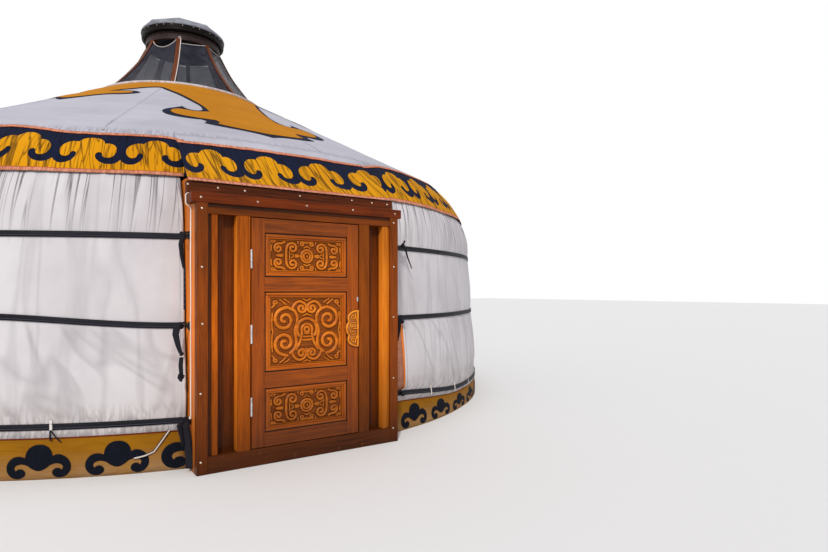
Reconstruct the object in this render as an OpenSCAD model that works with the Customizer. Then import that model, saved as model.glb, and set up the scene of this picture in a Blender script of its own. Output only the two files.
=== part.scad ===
// Yurt: a round felt tent on a lattice wall, with a carved wooden door and a glazed crown.
// Millimetres, +Z up. The door faces -Y and the origin is on the ground under the middle of the whole.

/* [Wall] */
// Outside radius of the wall cover at the ground
base_r = 4140; // [3900:10:4300]
// Outside radius of the wall cover at the upper girth strap
waist_r = 4032; // [3900:4:4100]
// Outside radius of the wall cover at its top edge, where it is pulled in
neck_r = 3935; // [3920:1:3940]
// Height of the wall cover's top edge, and of the lattice
wall_top_z = 2226; // [2200:2:2230]
// Height of the wall cover's lower hem, where the skirt starts
hem_z = 300; // [200:10:340]
// Thickness of the wall cover, canvas over felt
cover_t = 30; // [15:1:40]

/* [Lattice] */
// Width of a lath
lath_w = 34; // [25:1:50]
// Thickness of the two crossed layers of laths
lath_t = 26; // [16:1:30]
// Angle of the laths above the level
lath_angle = 50; // [45:1:56]
// Number of laths of each direction, and of lattice heads
lath_count = 48; // [32:4:56]

/* [Roof] */
// Radius of the roof where the eave starts to bend down
shoulder_r = 3615; // [3500:5:3700]
// Height of the roof where the eave starts to bend down
shoulder_z = 2667; // [2600:5:2720]
// Radius of the eave band's lower edge
eave_r = 3950; // [3940:2:3980]
// Height of the eave band's lower edge
eave_z = 2250; // [2230:2:2270]
// Thickness of the roof cover, canvas over felt
roof_t = 20; // [12:1:24]
// Thickness of the patterned band over the eave
band_t = 5; // [3:0.5:8]
// Width and depth of a roof pole
pole_d = 44; // [34:1:52]
// Number of roof poles
pole_count = 48; // [32:4:56]

/* [Crown] */
// Outside radius of the crown's lower ring
crown_r = 971; // [900:5:1040]
// Height of the roof where it meets the crown's lower ring
crown_z = 3979; // [3900:5:4050]
// Height of the crown's lower ring
crown_ring_h = 160; // [150:2:180]
// Radial width of the crown's lower ring
crown_ring_w = 100; // [98:1:130]
// Number of crown ribs
rib_count = 8; // [6:1:10]
// Angle of the first rib from the door
rib_first = -20; // [-22:1:22]
// Width of a rib, seen from the front
rib_w = 52; // [36:2:64]
// Depth of a rib, towards the axis
rib_d = 60; // [44:2:70]
// How far a rib curves in behind the straight line
rib_sag = 30; // [10:2:70]
// Outside radius of the crown's upper ring
upper_ring_r = 490; // [460:5:510]
// Height of the crown's upper ring above the lower one's top
rib_rise = 751; // [700:3:800]
// Height of the upper ring
upper_ring_h = 96; // [70:2:110]
// Radial width of the upper ring
upper_ring_w = 55; // [40:1:70]
// How far the clear crown cover lies behind the ribs' outer line
pane_in = 9; // [5:1:10]
// Thickness of the clear crown cover
pane_t = 4; // [2:0.5:5]
// Outside radius of the cap's rim
cap_r = 548; // [535:1:580]
// Height of the cap's rim
cap_rim_h = 98; // [80:2:110]
// Wall of the cap's rim
cap_rim_w = 50; // [36:1:56]
// Rise of the cap's cloth cover above its rim
cap_rise = 150; // [110:5:180]

/* [Door frame] */
// Distance from the yurt's axis to the front face of the door frame
front_q = 4277; // [4240:1:4320]
// Outside width of the door frame
frame_w = 1746; // [1700:2:1800]
// Depth of the door frame, through the wall
frame_d = 490; // [470:5:500]
// Width of a front post
post_w = 83; // [70:1:90]
// Thickness of a front post
post_t = 60; // [45:1:70]
// Thickness of a side board
side_t = 32; // [24:1:40]
// Height of the lintel board over the passage
lintel_h = 60; // [40:2:80]
// Depth of the lintel board
lintel_d = 170; // [150:5:200]
// Height of the threshold
sill_h = 130; // [110:2:150]
// Height of the underside of the lower header
header_z = 2003; // [1990:1:2015]
// Height of the lower header
header_h = 76; // [66:1:84]
// Depth of the lower header
header_d = 150; // [120:5:170]
// How far the lower header runs past the frame at each end
header_over = 36; // [20:1:46]
// Height of the rail over the door leaf
head_h = 79; // [70:1:90]
// Depth of the rail, the mullions and the stiles
rail_d = 110; // [95:1:120]
// Width of the mullion on each side of the leaf
mullion_w = 100; // [85:1:115]
// Width of the stile beside each post
stile_w = 70; // [50:1:90]
// Thickness of the narrow side panels
side_panel_t = 20; // [12:1:30]
// Height of the upper header board's top edge
header_top_z = 2180; // [2150:2:2182]
// Thickness of the upper header board
header_board_t = 50; // [36:1:60]

/* [Door leaf] */
// Width of the door leaf
leaf_w = 930; // [900:2:960]
// Thickness of the door leaf
leaf_t = 50; // [40:1:60]
// Gap over and under the leaf
leaf_gap = 7; // [5:0.5:10]
// Gap between the leaf's edges and the mullions
leaf_side_gap = 10; // [8:0.5:14]
// How far the door stop stands in behind the leaf
stop_w = 18; // [14:1:24]
// Width of the leaf's stiles
leaf_stile = 104; // [90:1:120]
// Height of the leaf's bottom rail
rail_bottom = 110; // [90:1:130]
// Height of each carved panel at the top and bottom
panel_small_h = 346; // [320:2:360]
// Height of the carved panel in the middle
panel_big_h = 632; // [600:2:650]
// Height of the rail over the bottom panel
rail_lower = 122; // [100:1:130]
// Height of the rail over the middle panel
rail_upper = 114; // [100:1:130]
// Width of the moulding around a carved panel
moulding_w = 46; // [30:1:60]
// Thickness of a carved panel
panel_t = 30; // [20:1:36]
// Height of a door hinge
hinge_h = 140; // [110:2:160]
// Height of the lowest hinge's middle
hinge_low_z = 461; // [400:1:520]
// Height of the middle hinge's middle
hinge_mid_z = 1019; // [960:1:1080]
// Height of the top hinge's middle
hinge_top_z = 1598; // [1540:1:1660]
// Depth of a hinge plate in the gap beside the leaf
hinge_plate = 40; // [30:1:44]
// Diameter of a hinge barrel
hinge_d = 16; // [12:1:20]
// Thickness of a hinge plate
hinge_t = 2.5; // [2:0.25:3]
// Height of the pull plate
pull_h = 312; // [260:2:340]
// Width of the pull plate
pull_w = 128; // [100:2:140]
// Thickness of the pull plate
pull_t = 22; // [14:1:28]

/* [Straps] */
// Height of the upper girth strap's middle
strap_top_z = 1773; // [1750:1:1790]
// Height of the middle girth strap's middle
strap_mid_z = 1088; // [1050:1:1120]
// Height of the lower girth strap's middle
strap_low_z = 372; // [350:1:390]
// Width of the girth straps
strap_w = 46; // [36:1:56]
// Thickness of the girth straps
strap_t = 4; // [2:0.5:6]
// Radius of a strap ring, to the middle of its rope
ring_r = 26; // [20:1:30]
// Thickness of a strap ring
ring_d = 15; // [10:1:18]
// Width of a strap's end where it runs to its ring
tongue_w = 30; // [20:1:40]
// Thickness of a strap's end where it runs to its ring
tongue_t = 8; // [6:0.5:11]
// How far a strap ring lies behind the frame's front face
ring_back = 190; // [150:5:210]
// Diameter of the cord along the frame
cord_d = 11; // [8:1:14]

/* [Hidden] */
QUARTERS = ["front_right", "back_right", "back_left", "front_left"];
SIDES = ["right", "left"];
$fn = 48;
// Gap between pieces that lie against each other
seat = 0.3;
// Gap between the wall cover's edge and the door frame
edge_gap = 12;
frame_half = frame_w / 2;
edge_half = frame_half + edge_gap;
leaf_half = leaf_w / 2;
mullion_in = leaf_half + leaf_side_gap;
stile_in = frame_half - post_w - stile_w;
// Gap between the leaf's back and the door stop
stop_gap = 1;
lattice_h = wall_top_z;
front_reach = front_q + pull_t;
// The yurt's axis stands this far behind the origin, so that the origin is in the middle of the whole
axis_y = (front_reach - base_r) / 2;
// Half the angle that the segments leave free at the door, before they are cut to the frame
door_gap_a = 9;
far = base_r * 1.2;

// Outside radius of the wall cover at a height
function wall_r(z) = lookup(z, [[0, base_r], [strap_top_z, waist_r], [wall_top_z, neck_r]]);
function unit(v) = v / norm(v);
// Point where two lines meet, each given by a point and a direction
function meet(p, d, q, e) = p + d * ((q - p)[0] * e[1] - (q - p)[1] * e[0]) / (d[0] * e[1] - d[1] * e[0]);
// Direction that points into the yurt, square to a line that runs outwards and down
function inward(d) = [d[1], -d[0]];
ROOF_TOP = [crown_r, crown_z];
SHOULDER = [shoulder_r, shoulder_z];
EAVE = [eave_r, eave_z];
roof_dir = unit(SHOULDER - ROOF_TOP);
eave_dir = unit(EAVE - SHOULDER);
// Lines at a depth under the roof's outside, as points: at the crown, at the shoulder and at the eave
function under_top(t) = meet(ROOF_TOP + inward(roof_dir) * t, roof_dir, ROOF_TOP, [0, 1]);
function under_shoulder(t) =
    meet(ROOF_TOP + inward(roof_dir) * t, roof_dir, SHOULDER + inward(eave_dir) * t, eave_dir);
function under_eave(t) = EAVE + inward(eave_dir) * t;
// Angle of a quarter's or a side's start and end, counted from the door
function start_a(i, n) = i == 0 ? door_gap_a : i * 360 / n;
function end_a(i, n) = i == n - 1 ? 360 - door_gap_a : (i + 1) * 360 / n;

// Size of the small blocks that a pulled-out shape is spanned over
tip = 2;
// Lower edge of the band over the door, in front of the header board
flap_q = front_q - header_d + band_t + 6;
flap_z = header_top_z - 1;

// Crown heights: the lower ring's top stands a little over the roof's edge
ring_top_z = crown_z + 5;
ring_bottom_z = ring_top_z - crown_ring_h;
upper_ring_z = ring_top_z + rib_rise;
cap_rim_z = upper_ring_z + upper_ring_h - 20;
cap_z = cap_rim_z + cap_rim_h;
rib_foot = crown_r - seat;
rib_head = upper_ring_r;
rib_steps = 8;

// Door heights
leaf_z = sill_h + leaf_gap;
head_z = header_z - head_h;
leaf_h = head_z - leaf_gap - leaf_z;
panel_z = [leaf_z + rail_bottom,
           leaf_z + rail_bottom + panel_small_h + rail_lower,
           leaf_z + rail_bottom + panel_small_h + rail_lower + panel_big_h + rail_upper];
panel_w = leaf_w - 2 * leaf_stile;
hinge_z = [hinge_low_z, hinge_mid_z, hinge_top_z];
hinge_x = -leaf_half - leaf_side_gap / 2;
hinge_q = front_q + hinge_d / 2;
strap_zs = [strap_top_z, strap_mid_z, strap_low_z];
ring_x = frame_half + seat + ring_d / 2;
ring_q = front_q - ring_back;
cord_q = front_q - 105;

// Puts a piece that is drawn about the yurt's axis into the part's frame
module place() { translate([0, axis_y, 0]) children(); }

// A sector of a turned shape, from one angle to another, counted from the door towards +X
module sector(a0, a1) {
    rotate_extrude(angle = a1 - a0, start = a0 - 90, $fn = 360) children();
}

// The space of the door frame, which the round wall leaves free
module frame_space(half, z0, z1) {
    translate([-half, -far, z0]) cube([2 * half, far - base_r / 2, z1 - z0]);
}

// A ring-shaped sector cut to the door frame's sides
module cut_sector(i, n, half) {
    difference() {
        sector(start_a(i, n), end_a(i, n)) children();
        frame_space(half, -1, shoulder_z);
    }
}

// Section of the wall between two heights, from one depth to another under its outside
module wall_section(z0, z1, t0, t1) {
    polygon(concat(
        [[wall_r(z0) - t0, z0]],
        z0 < strap_top_z && z1 > strap_top_z ? [[waist_r - t0, strap_top_z]] : [],
        [[wall_r(z1) - t0, z1], [wall_r(z1) - t1, z1]],
        z0 < strap_top_z && z1 > strap_top_z ? [[waist_r - t1, strap_top_z]] : [],
        [[wall_r(z0) - t1, z0]]));
}

// Flat slabs whose crossing lines round the wall are the laths of one quarter
module lath_slabs(i) {
    step = 360 / lath_count;
    reach = ceil(asin(lattice_h / 2 / tan(lath_angle) / neck_r) / step);
    for (k = [-reach : lath_count / 4 + reach], lean = [1, -1])
        rotate([0, 0, 90 * i + k * step]) translate([0, -base_r, lattice_h / 2]) rotate([0, lean * lath_angle, 0])
            cube([1.6 * lattice_h, base_r, lath_w], center = true);
}

module lattice_quarter(i) {
    t0 = cover_t + seat;
    color([0.72, 0.36, 0.16]) place() difference() {
        intersection() {
            sector(90 * i, 90 * (i + 1)) wall_section(0, lattice_h, t0, t0 + lath_t);
            lath_slabs(i);
        }
        frame_space(frame_half + seat, -1, shoulder_z);
    }
}

module wall_cover(i) {
    color([0.93, 0.92, 0.93]) place() cut_sector(i, 4, edge_half)
        wall_section(hem_z, wall_top_z, 0, cover_t);
}

module skirt(i) {
    color([0.80, 0.55, 0.04]) place() cut_sector(i, 2, edge_half)
        wall_section(0, hem_z, 0, cover_t);
}

// One roof pole: straight under the roof, then bent down to the top of the lattice
module roof_pole() {
    out = band_t + roof_t + 2 * seat;
    foot_z = lattice_h + seat;
    rotate([90, 0, 0]) linear_extrude(pole_d, center = true)
        polygon([for (t = [out, out + pole_d]) each t == out
            ? [meet(under_eave(t), eave_dir, [0, foot_z], [1, 0]), under_shoulder(t),
               meet(under_top(t), roof_dir, [crown_r, 0], [0, 1])]
            : [meet(under_top(t), roof_dir, [crown_r, 0], [0, 1]), under_shoulder(t),
               meet(under_eave(t), eave_dir, [0, foot_z], [1, 0])]]);
}

module roof_poles(i) {
    step = 360 / pole_count;
    color([0.66, 0.30, 0.12]) place() for (k = [0 : pole_count / 2 - 1])
        rotate([0, 0, -90 + i * 180 + step * (k + 0.5)]) roof_pole();
}

module roof_cover(i) {
    t0 = band_t + seat;
    t1 = t0 + roof_t;
    color([0.93, 0.92, 0.93]) place() sector(90 * i, 90 * (i + 1))
        polygon([under_top(t0), under_shoulder(t0), under_eave(t0),
                 under_eave(t1), under_shoulder(t1), under_top(t1)]);
}

// Patterned band that bends down over the eave
module eave_section() {
    polygon([SHOULDER, EAVE, under_eave(band_t), under_shoulder(band_t)]);
}

module eave_band(i) {
    color([0.90, 0.62, 0.06]) place() cut_sector(i, 2, edge_half) eave_section();
}

// Tent-like shape of the band over the door: from the shoulder out to the header board
module over_door_hull(half, drop) {
    hull() {
        sector(-asin(half / shoulder_r), asin(half / shoulder_r))
            translate([shoulder_r - tip, shoulder_z - tip - drop]) square(tip);
        translate([-half, -flap_q, flap_z - drop]) cube([2 * half, tip, 3 * tip]);
        for (side = [-1, 1])
            translate([side * (half - tip / 2) - tip / 2, -sqrt(pow(eave_r, 2) - pow(half, 2)), eave_z - drop])
                cube(tip);
    }
}

// Part of the band that is pulled out over the header board, with a fold at each side
module eave_band_over_door() {
    half = edge_half - seat;
    lower = band_t / cos(atan2(shoulder_z - flap_z, flap_q - shoulder_r));
    color([0.90, 0.62, 0.06]) place() difference() {
        over_door_hull(half, 0);
        over_door_hull(half - band_t, lower);
        rotate_extrude($fn = 360) polygon([[0, hem_z], [0, crown_z], under_top(band_t), under_shoulder(band_t),
                                           under_eave(band_t), [eave_r * 0.9, hem_z]]);
    }
}

module crown_lower_ring() {
    color([0.60, 0.52, 0.44]) place() translate([0, 0, ring_bottom_z]) difference() {
        cylinder(h = crown_ring_h, r = crown_r - seat, $fn = 96);
        translate([0, 0, -1]) cylinder(h = crown_ring_h + 2, r = crown_r - crown_ring_w, $fn = 96);
    }
}

// Outer line of a rib in the (radius, height) plane, from foot to head
function rib_line(depth) = [for (k = [0 : rib_steps])
    let (t = k / rib_steps, bow = 4 * rib_sag * t * (1 - t))
    [rib_foot + (rib_head - rib_foot) * t - bow * rib_rise / norm([rib_rise, rib_foot - rib_head]) - depth,
     ring_top_z + rib_rise * t - bow * (rib_foot - rib_head) / norm([rib_rise, rib_foot - rib_head])]];

module rib_shape(grow) {
    line_out = rib_line(0);
    line_in = rib_line(rib_d);
    rotate([90, 0, 0]) linear_extrude(rib_w + 2 * grow, center = true)
        polygon(concat(line_out, [for (k = [rib_steps : -1 : 0]) line_in[k]]));
}

module around_crown() {
    for (k = [0 : rib_count - 1])
        rotate([0, 0, rib_first - 90 + k * 360 / rib_count]) children();
}

module crown_ribs() {
    color([0.62, 0.34, 0.20]) place() around_crown() rib_shape(0);
}

module crown_glazing() {
    line_out = rib_line(pane_in);
    line_in = rib_line(pane_in + pane_t);
    color([0.45, 0.48, 0.55, 0.5]) place() difference() {
        rotate([0, 0, rib_first - 90]) rotate_extrude($fn = rib_count)
            polygon(concat(line_out, [for (k = [rib_steps : -1 : 0]) line_in[k]]));
        around_crown() translate([0, -rib_w / 2 - seat, ring_bottom_z])
            cube([crown_r + rib_w, rib_w + 2 * seat, cap_z]);
    }
}

module ring_at(z, h, r, w) {
    translate([0, 0, z]) difference() {
        cylinder(h = h, r = r, $fn = 72);
        translate([0, 0, -1]) cylinder(h = h + 2, r = r - w, $fn = 72);
    }
}

module crown_upper_ring() {
    color([0.45, 0.38, 0.34]) place() ring_at(upper_ring_z, upper_ring_h, upper_ring_r, upper_ring_w);
}

module cap_rim() {
    color([0.13, 0.08, 0.07]) place() difference() {
        ring_at(cap_rim_z, cap_rim_h, cap_r, cap_rim_w + 60);
        translate([0, 0, cap_rim_z - 1]) cylinder(h = 1 + upper_ring_z + upper_ring_h + seat - cap_rim_z,
                                                  r = upper_ring_r + seat, $fn = 72);
    }
}

// Quilted cloth cap with a flat middle and a bevelled edge, kinked at the ribs
module cap_cover() {
    color([0.80, 0.82, 0.86]) place() translate([0, 0, cap_z]) rotate([0, 0, rib_first - 90])
        rotate_extrude($fn = rib_count)
            polygon([[0, 0], [cap_r + 4, 0], [cap_r + 4, cap_rise * 0.18], [cap_r * 0.84, cap_rise * 0.74],
                     [cap_r * 0.35, cap_rise * 0.94], [0, cap_rise]]);
}

// Flat strap round the wall, from one side of the door frame to the other
module girth_strap(z) {
    color([0.06, 0.06, 0.07]) place() difference() {
        sector(door_gap_a, 360 - door_gap_a)
            wall_section(z - strap_w / 2, z + strap_w / 2, -strap_t, -seat);
        frame_space(edge_half, z - strap_w, z + strap_w);
    }
}

// Strap end that turns forwards along the frame's side and ends in a ring
module strap_ring(z) {
    tongue_q = sqrt(pow(wall_r(z), 2) - pow(edge_half, 2)) - strap_t;
    front = ring_q - ring_r + ring_d / 4;
    translate([ring_x, -ring_q, z]) rotate([0, 90, 0]) rotate_extrude($fn = 32)
        translate([ring_r, 0]) circle(d = ring_d, $fn = 16);
    translate([frame_half + seat, -front, z - tongue_w / 2]) cube([tongue_t, front - tongue_q, tongue_w]);
}

module strap_rings() {
    color([0.06, 0.06, 0.07]) place() for (z = strap_zs) {
        strap_ring(z);
        mirror([1, 0, 0]) strap_ring(z);
    }
}

// Cord that lies along the lower header, turns round its left end and runs down the frame's side
module frame_cord() {
    r = cord_d / 2;
    top = [front_q - header_d + r + seat, header_z + header_h + seat + r];
    end_x = frame_half + header_over + seat + r;
    side_x = frame_half + seat + r;
    color([0.88, 0.87, 0.84]) place() {
        translate([-end_x, -top[0], top[1]]) rotate([0, 90, 0]) cylinder(h = 2 * end_x - header_over, d = cord_d, $fn = 16);
        translate([-end_x, -top[0], top[1]]) sphere(d = cord_d, $fn = 16);
        translate([-end_x, -top[0], header_z - cord_d]) cylinder(h = top[1] - header_z + cord_d, d = cord_d, $fn = 16);
        translate([-end_x, -top[0], header_z - cord_d]) sphere(d = cord_d, $fn = 16);
        translate([-end_x, -top[0], header_z - cord_d]) rotate([0, 90, 0])
            cylinder(h = end_x - side_x, d = cord_d, $fn = 16);
        translate([-side_x, -top[0], header_z - cord_d]) sphere(d = cord_d, $fn = 16);
        translate([-side_x, -top[0], strap_low_z + ring_r + ring_d]) cylinder(h = header_z - cord_d - strap_low_z - ring_r - ring_d, d = cord_d, $fn = 16);
    }
}

// A board of the door frame: from one x to another, set back from the front face by back, d deep
module board(x0, x1, back, d, z0, z1) {
    translate([x0, -front_q + back, z0]) cube([x1 - x0, d, z1 - z0]);
}

module both_sides() {
    children();
    mirror([1, 0, 0]) children();
}

module door_threshold() {
    color([0.42, 0.19, 0.07]) place() board(-frame_half + post_w, frame_half - post_w, 0, rail_d, 0, sill_h);
}

module door_post(side) {
    color([0.50, 0.23, 0.08]) place()
        board(side > 0 ? frame_half - post_w : -frame_half, side > 0 ? frame_half : -frame_half + post_w,
              0, post_t, 0, header_z);
}

module frame_side_boards() {
    back = header_d + header_board_t;
    color([0.75, 0.38, 0.14]) place() both_sides() {
        board(frame_half - side_t, frame_half, post_t, frame_d - post_t, 0, header_z);
        board(frame_half - side_t, frame_half, back, frame_d - back, 0, header_top_z);
        board(frame_half - side_t, frame_half, frame_d - lintel_d, lintel_d, 0, wall_top_z);
    }
}

// Board over the passage, which carries the roof poles there
module frame_lintel() {
    color([0.50, 0.23, 0.08]) place() board(-frame_half + side_t, frame_half - side_t, frame_d - lintel_d, lintel_d,
                                            wall_top_z - lintel_h, wall_top_z);
}

module header_lower() {
    color([0.38, 0.15, 0.06]) place()
        board(-frame_half - header_over, frame_half + header_over, 0, header_d, header_z, header_z + header_h);
}

module header_upper() {
    color([0.38, 0.15, 0.06]) place() board(-frame_half - header_over, frame_half + header_over,
        header_d, header_board_t, header_z, header_top_z);
}

module frame_head_rail() {
    color([0.60, 0.28, 0.09]) place() board(-frame_half + post_w, frame_half - post_w, 0, rail_d, head_z, header_z);
}

// Posts beside the leaf
module door_mullions() {
    color([0.68, 0.33, 0.11]) place() both_sides()
        board(mullion_in, mullion_in + mullion_w, 0, rail_d, sill_h, head_z);
}

// Strips that the closed leaf rests against
module door_stops() {
    back = leaf_t + stop_gap;
    color([0.60, 0.28, 0.09]) place() {
        both_sides() board(mullion_in - stop_w, mullion_in - seat, back, rail_d - back, sill_h + seat, head_z - seat);
        board(-mullion_in + stop_w + seat, mullion_in - stop_w - seat, back, rail_d - back,
              head_z - stop_w, head_z - seat);
    }
}

module sidelight_stiles() {
    color([0.64, 0.30, 0.10]) place() both_sides()
        board(frame_half - post_w - stile_w, frame_half - post_w, 12, rail_d - 12, sill_h, head_z);
}

module sidelight_panels() {
    color([0.28, 0.13, 0.06]) place() both_sides()
        board(mullion_in + mullion_w, stile_in, rail_d - side_panel_t, side_panel_t, sill_h, head_z);
}

module door_panel_hole(k, h) {
    board(-panel_w / 2, panel_w / 2, -1, leaf_t + 2, panel_z[k], panel_z[k] + h);
}

module leaf_frame() {
    color([0.66, 0.31, 0.09]) place() difference() {
        board(-leaf_half, leaf_half, 0, leaf_t, leaf_z, leaf_z + leaf_h);
        door_panel_hole(0, panel_small_h);
        door_panel_hole(1, panel_big_h);
        door_panel_hole(2, panel_small_h);
    }
}

// A panel set in the leaf: a raised moulding round a sunken field
module carved_panel(k, h) {
    color([0.68, 0.34, 0.12]) place() difference() {
        board(-panel_w / 2, panel_w / 2, leaf_t / 2 - panel_t / 2 - 6, panel_t, panel_z[k], panel_z[k] + h);
        board(-panel_w / 2 + moulding_w, panel_w / 2 - moulding_w, -1, leaf_t / 2 - panel_t / 2 + 5,
              panel_z[k] + moulding_w, panel_z[k] + h - moulding_w);
    }
}

// Scalloped pull plate on the leaf's free edge: three lobes on a straight back
module door_pull() {
    lobe = pull_h / 6;
    mid_z = (panel_z[1] + panel_z[1] + panel_big_h) / 2;
    color([0.85, 0.50, 0.15]) place() translate([leaf_half, -front_q - pull_t, mid_z]) rotate([-90, 0, 0])
        linear_extrude(pull_t) union() {
            translate([-pull_w * 0.55, -pull_h / 2]) square([pull_w * 0.55, pull_h]);
            for (k = [-1 : 1])
                translate([-pull_w + lobe * (k == 0 ? 1 : 1.25), k * lobe * 2]) circle(r = lobe, $fn = 32);
        }
}

// Knuckles of one half of a butt hinge, each with its part of the plate
module hinge_half(z0s, h, plate_x) {
    for (z0 = z0s) {
        translate([hinge_x, -hinge_q, z0]) cylinder(h = h, d = hinge_d, $fn = 24);
        translate([plate_x, -hinge_q, z0]) cube([hinge_t, hinge_plate, h]);
    }
}

module frame_hinge_halves() {
    k = hinge_h / 5;
    color([0.72, 0.73, 0.75]) place() for (z = hinge_z)
        hinge_half([for (j = [0, 2, 4]) z - hinge_h / 2 + j * k], k - 0.5, -mullion_in);
}

module leaf_hinge_halves() {
    k = hinge_h / 5;
    color([0.72, 0.73, 0.75]) place() for (z = hinge_z)
        hinge_half([for (j = [1, 3]) z - hinge_h / 2 + j * k], k - 0.5, -leaf_half - hinge_t);
}

for (i = [0 : 3]) {
    lattice_quarter(i);
    wall_cover(i);
    roof_cover(i);
}
for (i = [0 : 1]) {
    skirt(i);
    roof_poles(i);
    eave_band(i);
}
eave_band_over_door();
crown_lower_ring();
crown_ribs();
crown_glazing();
crown_upper_ring();
cap_rim();
cap_cover();
girth_strap(strap_top_z);  // girth_strap_upper
girth_strap(strap_mid_z);  // girth_strap_middle
girth_strap(strap_low_z);  // girth_strap_lower
strap_rings();
frame_cord();
door_threshold();
door_post(-1);  // door_post_left
door_post(1);  // door_post_right
frame_side_boards();
frame_lintel();
header_lower();
header_upper();
frame_head_rail();
door_mullions();
door_stops();
sidelight_stiles();
sidelight_panels();
frame_hinge_halves();
leaf_frame();
carved_panel(2, panel_small_h);  // carved_panel_top
carved_panel(1, panel_big_h);  // carved_panel_middle
carved_panel(0, panel_small_h);  // carved_panel_bottom
door_pull();
leaf_hinge_halves();
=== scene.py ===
import random
from math import asin, atan2, cos, degrees, exp, hypot, pi, radians, sin

import bmesh
import bpy
from mathutils import Matrix, Vector, noise


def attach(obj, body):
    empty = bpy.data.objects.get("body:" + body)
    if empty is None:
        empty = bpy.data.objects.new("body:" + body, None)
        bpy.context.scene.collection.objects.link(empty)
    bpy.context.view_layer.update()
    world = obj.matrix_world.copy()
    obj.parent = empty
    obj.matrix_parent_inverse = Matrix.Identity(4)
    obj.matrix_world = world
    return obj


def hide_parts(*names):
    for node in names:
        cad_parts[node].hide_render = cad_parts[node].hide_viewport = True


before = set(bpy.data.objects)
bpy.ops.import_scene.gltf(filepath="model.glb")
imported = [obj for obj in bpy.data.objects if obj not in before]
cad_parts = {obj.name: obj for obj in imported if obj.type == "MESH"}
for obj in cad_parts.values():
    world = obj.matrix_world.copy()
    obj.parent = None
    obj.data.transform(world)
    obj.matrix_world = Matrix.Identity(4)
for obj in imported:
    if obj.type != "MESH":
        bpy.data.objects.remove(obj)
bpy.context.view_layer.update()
scene = bpy.context.scene
axis_y = 0.0795


def placed(name, data, spot=(0, 0, 0), turn=(0, 0, 0)):
    """A new object in the scene, turned by degrees"""
    new = bpy.data.objects.new(name, data)
    new.location = spot
    new.rotation_euler = [radians(angle) for angle in turn]
    scene.collection.objects.link(new)
    return new


# Camera: at the height of a standing eye, to the left of the door, about eight and a half metres away.
lens = bpy.data.cameras.new("photo_camera")
lens.sensor_width = 36.0
lens.lens = 25.0
lens.shift_y = 0.0165
lens.clip_end = 200.0
scene.camera = placed("photo_camera", lens, (-1.943, axis_y - 8.624, 1.362), (90.0, 0.0, -34.54))
scene.view_settings.view_transform = "Standard"

# Light and floor: one soft sun from the left of the door under an even pale sky, over a plain pale floor.
# The floor and the sky show white to the camera, and the floor keeps the yurt's shadow.
sun = bpy.data.lights.new("soft_sun", "SUN")
sun.energy = 2.2
sun.angle = radians(4.0)
sun.color = (1.0, 0.965, 0.91)
placed("soft_sun", sun, turn=(52.0, 0.0, -38.0))


def add(tree, kind, values=(), **properties):
    """A shader node with its properties set, and its sockets set or linked"""
    made = tree.nodes.new("ShaderNode" + kind)
    for name, value in properties.items():
        setattr(made, name, value)
    for socket, value in dict(values).items():
        if isinstance(value, bpy.types.NodeSocket):
            tree.links.new(value, made.inputs[socket])
        else:
            made.inputs[socket].default_value = value
    return made


def calc(operation, *values, kind="Math", **properties):
    """What a maths node makes of its values, in the tree of the first linked one"""
    tree = next(value for value in values if isinstance(value, bpy.types.NodeSocket)).id_data
    return add(tree, kind, enumerate(values), operation=operation, **properties).outputs[0]


def link(node, **values):
    """Links values into a node's sockets, whose names have _ for a space"""
    for socket, value in values.items():
        node.id_data.links.new(value, node.inputs[socket.replace("_", " ")])


sky = bpy.data.worlds.new("pale_sky")
scene.world = sky
sky.use_nodes = True
sky_light = sky.node_tree.nodes["Background"]
sky_light.inputs["Color"].default_value = (0.92, 0.93, 1.0, 1)
sky_light.inputs["Strength"].default_value = 0.62
white_sky = add(sky.node_tree, "Background", {"Color": (1, 1, 1, 1), "Strength": 1.0})
rays = add(sky.node_tree, "LightPath").outputs
seen = calc("MAXIMUM", rays["Is Camera Ray"], rays["Is Glossy Ray"])
seen = calc("MAXIMUM", seen, rays["Is Transmission Ray"])
either = add(sky.node_tree, "MixShader", {0: seen, 1: sky_light.outputs[0], 2: white_sky.outputs[0]})
link(sky.node_tree.nodes["World Output"], Surface=either.outputs[0])


def material(name, roughness, **constants):
    """A new Principled material with its constant values set on the shader: the material and its shader"""
    made = bpy.data.materials.new(name)
    made.use_nodes = True
    shader = made.node_tree.nodes["Principled BSDF"]
    for socket, value in {"Roughness": roughness, **constants}.items():
        shader.inputs[socket.replace("_", " ")].default_value = value
    return made, shader


def as_mesh(name, made):
    """The mesh that a bmesh holds, which is then freed"""
    mesh = bpy.data.meshes.new(name)
    made.to_mesh(mesh)
    made.free()
    return mesh


floor_made = bmesh.new()
bmesh.ops.create_grid(floor_made, x_segments=1, y_segments=1, size=60)
floor = placed("floor", as_mesh("floor", floor_made))
floor.data.materials.append(material("pale_floor", 0.9, Base_Color=(0.8, 0.8, 0.79, 1))[0])


# Wall canvas: heavy cotton canvas wrapped round the felt and laced to the door frame at both sides.
# The girth straps draw it in, so it bellies out between them and puckers along them, and it hangs in folds
# from the eave.
def at(radius, azimuth, height):
    """Point by its distance from the yurt's axis, its angle from the door to the right, and its height"""
    turn = radians(azimuth)
    return Vector((radius * sin(turn), axis_y - radius * cos(turn), height))


def ahead(x, q, z):
    """Point by its distances to the right of the door's middle and in front of the axis, and its height"""
    return Vector((x, axis_y - q, z))


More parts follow.
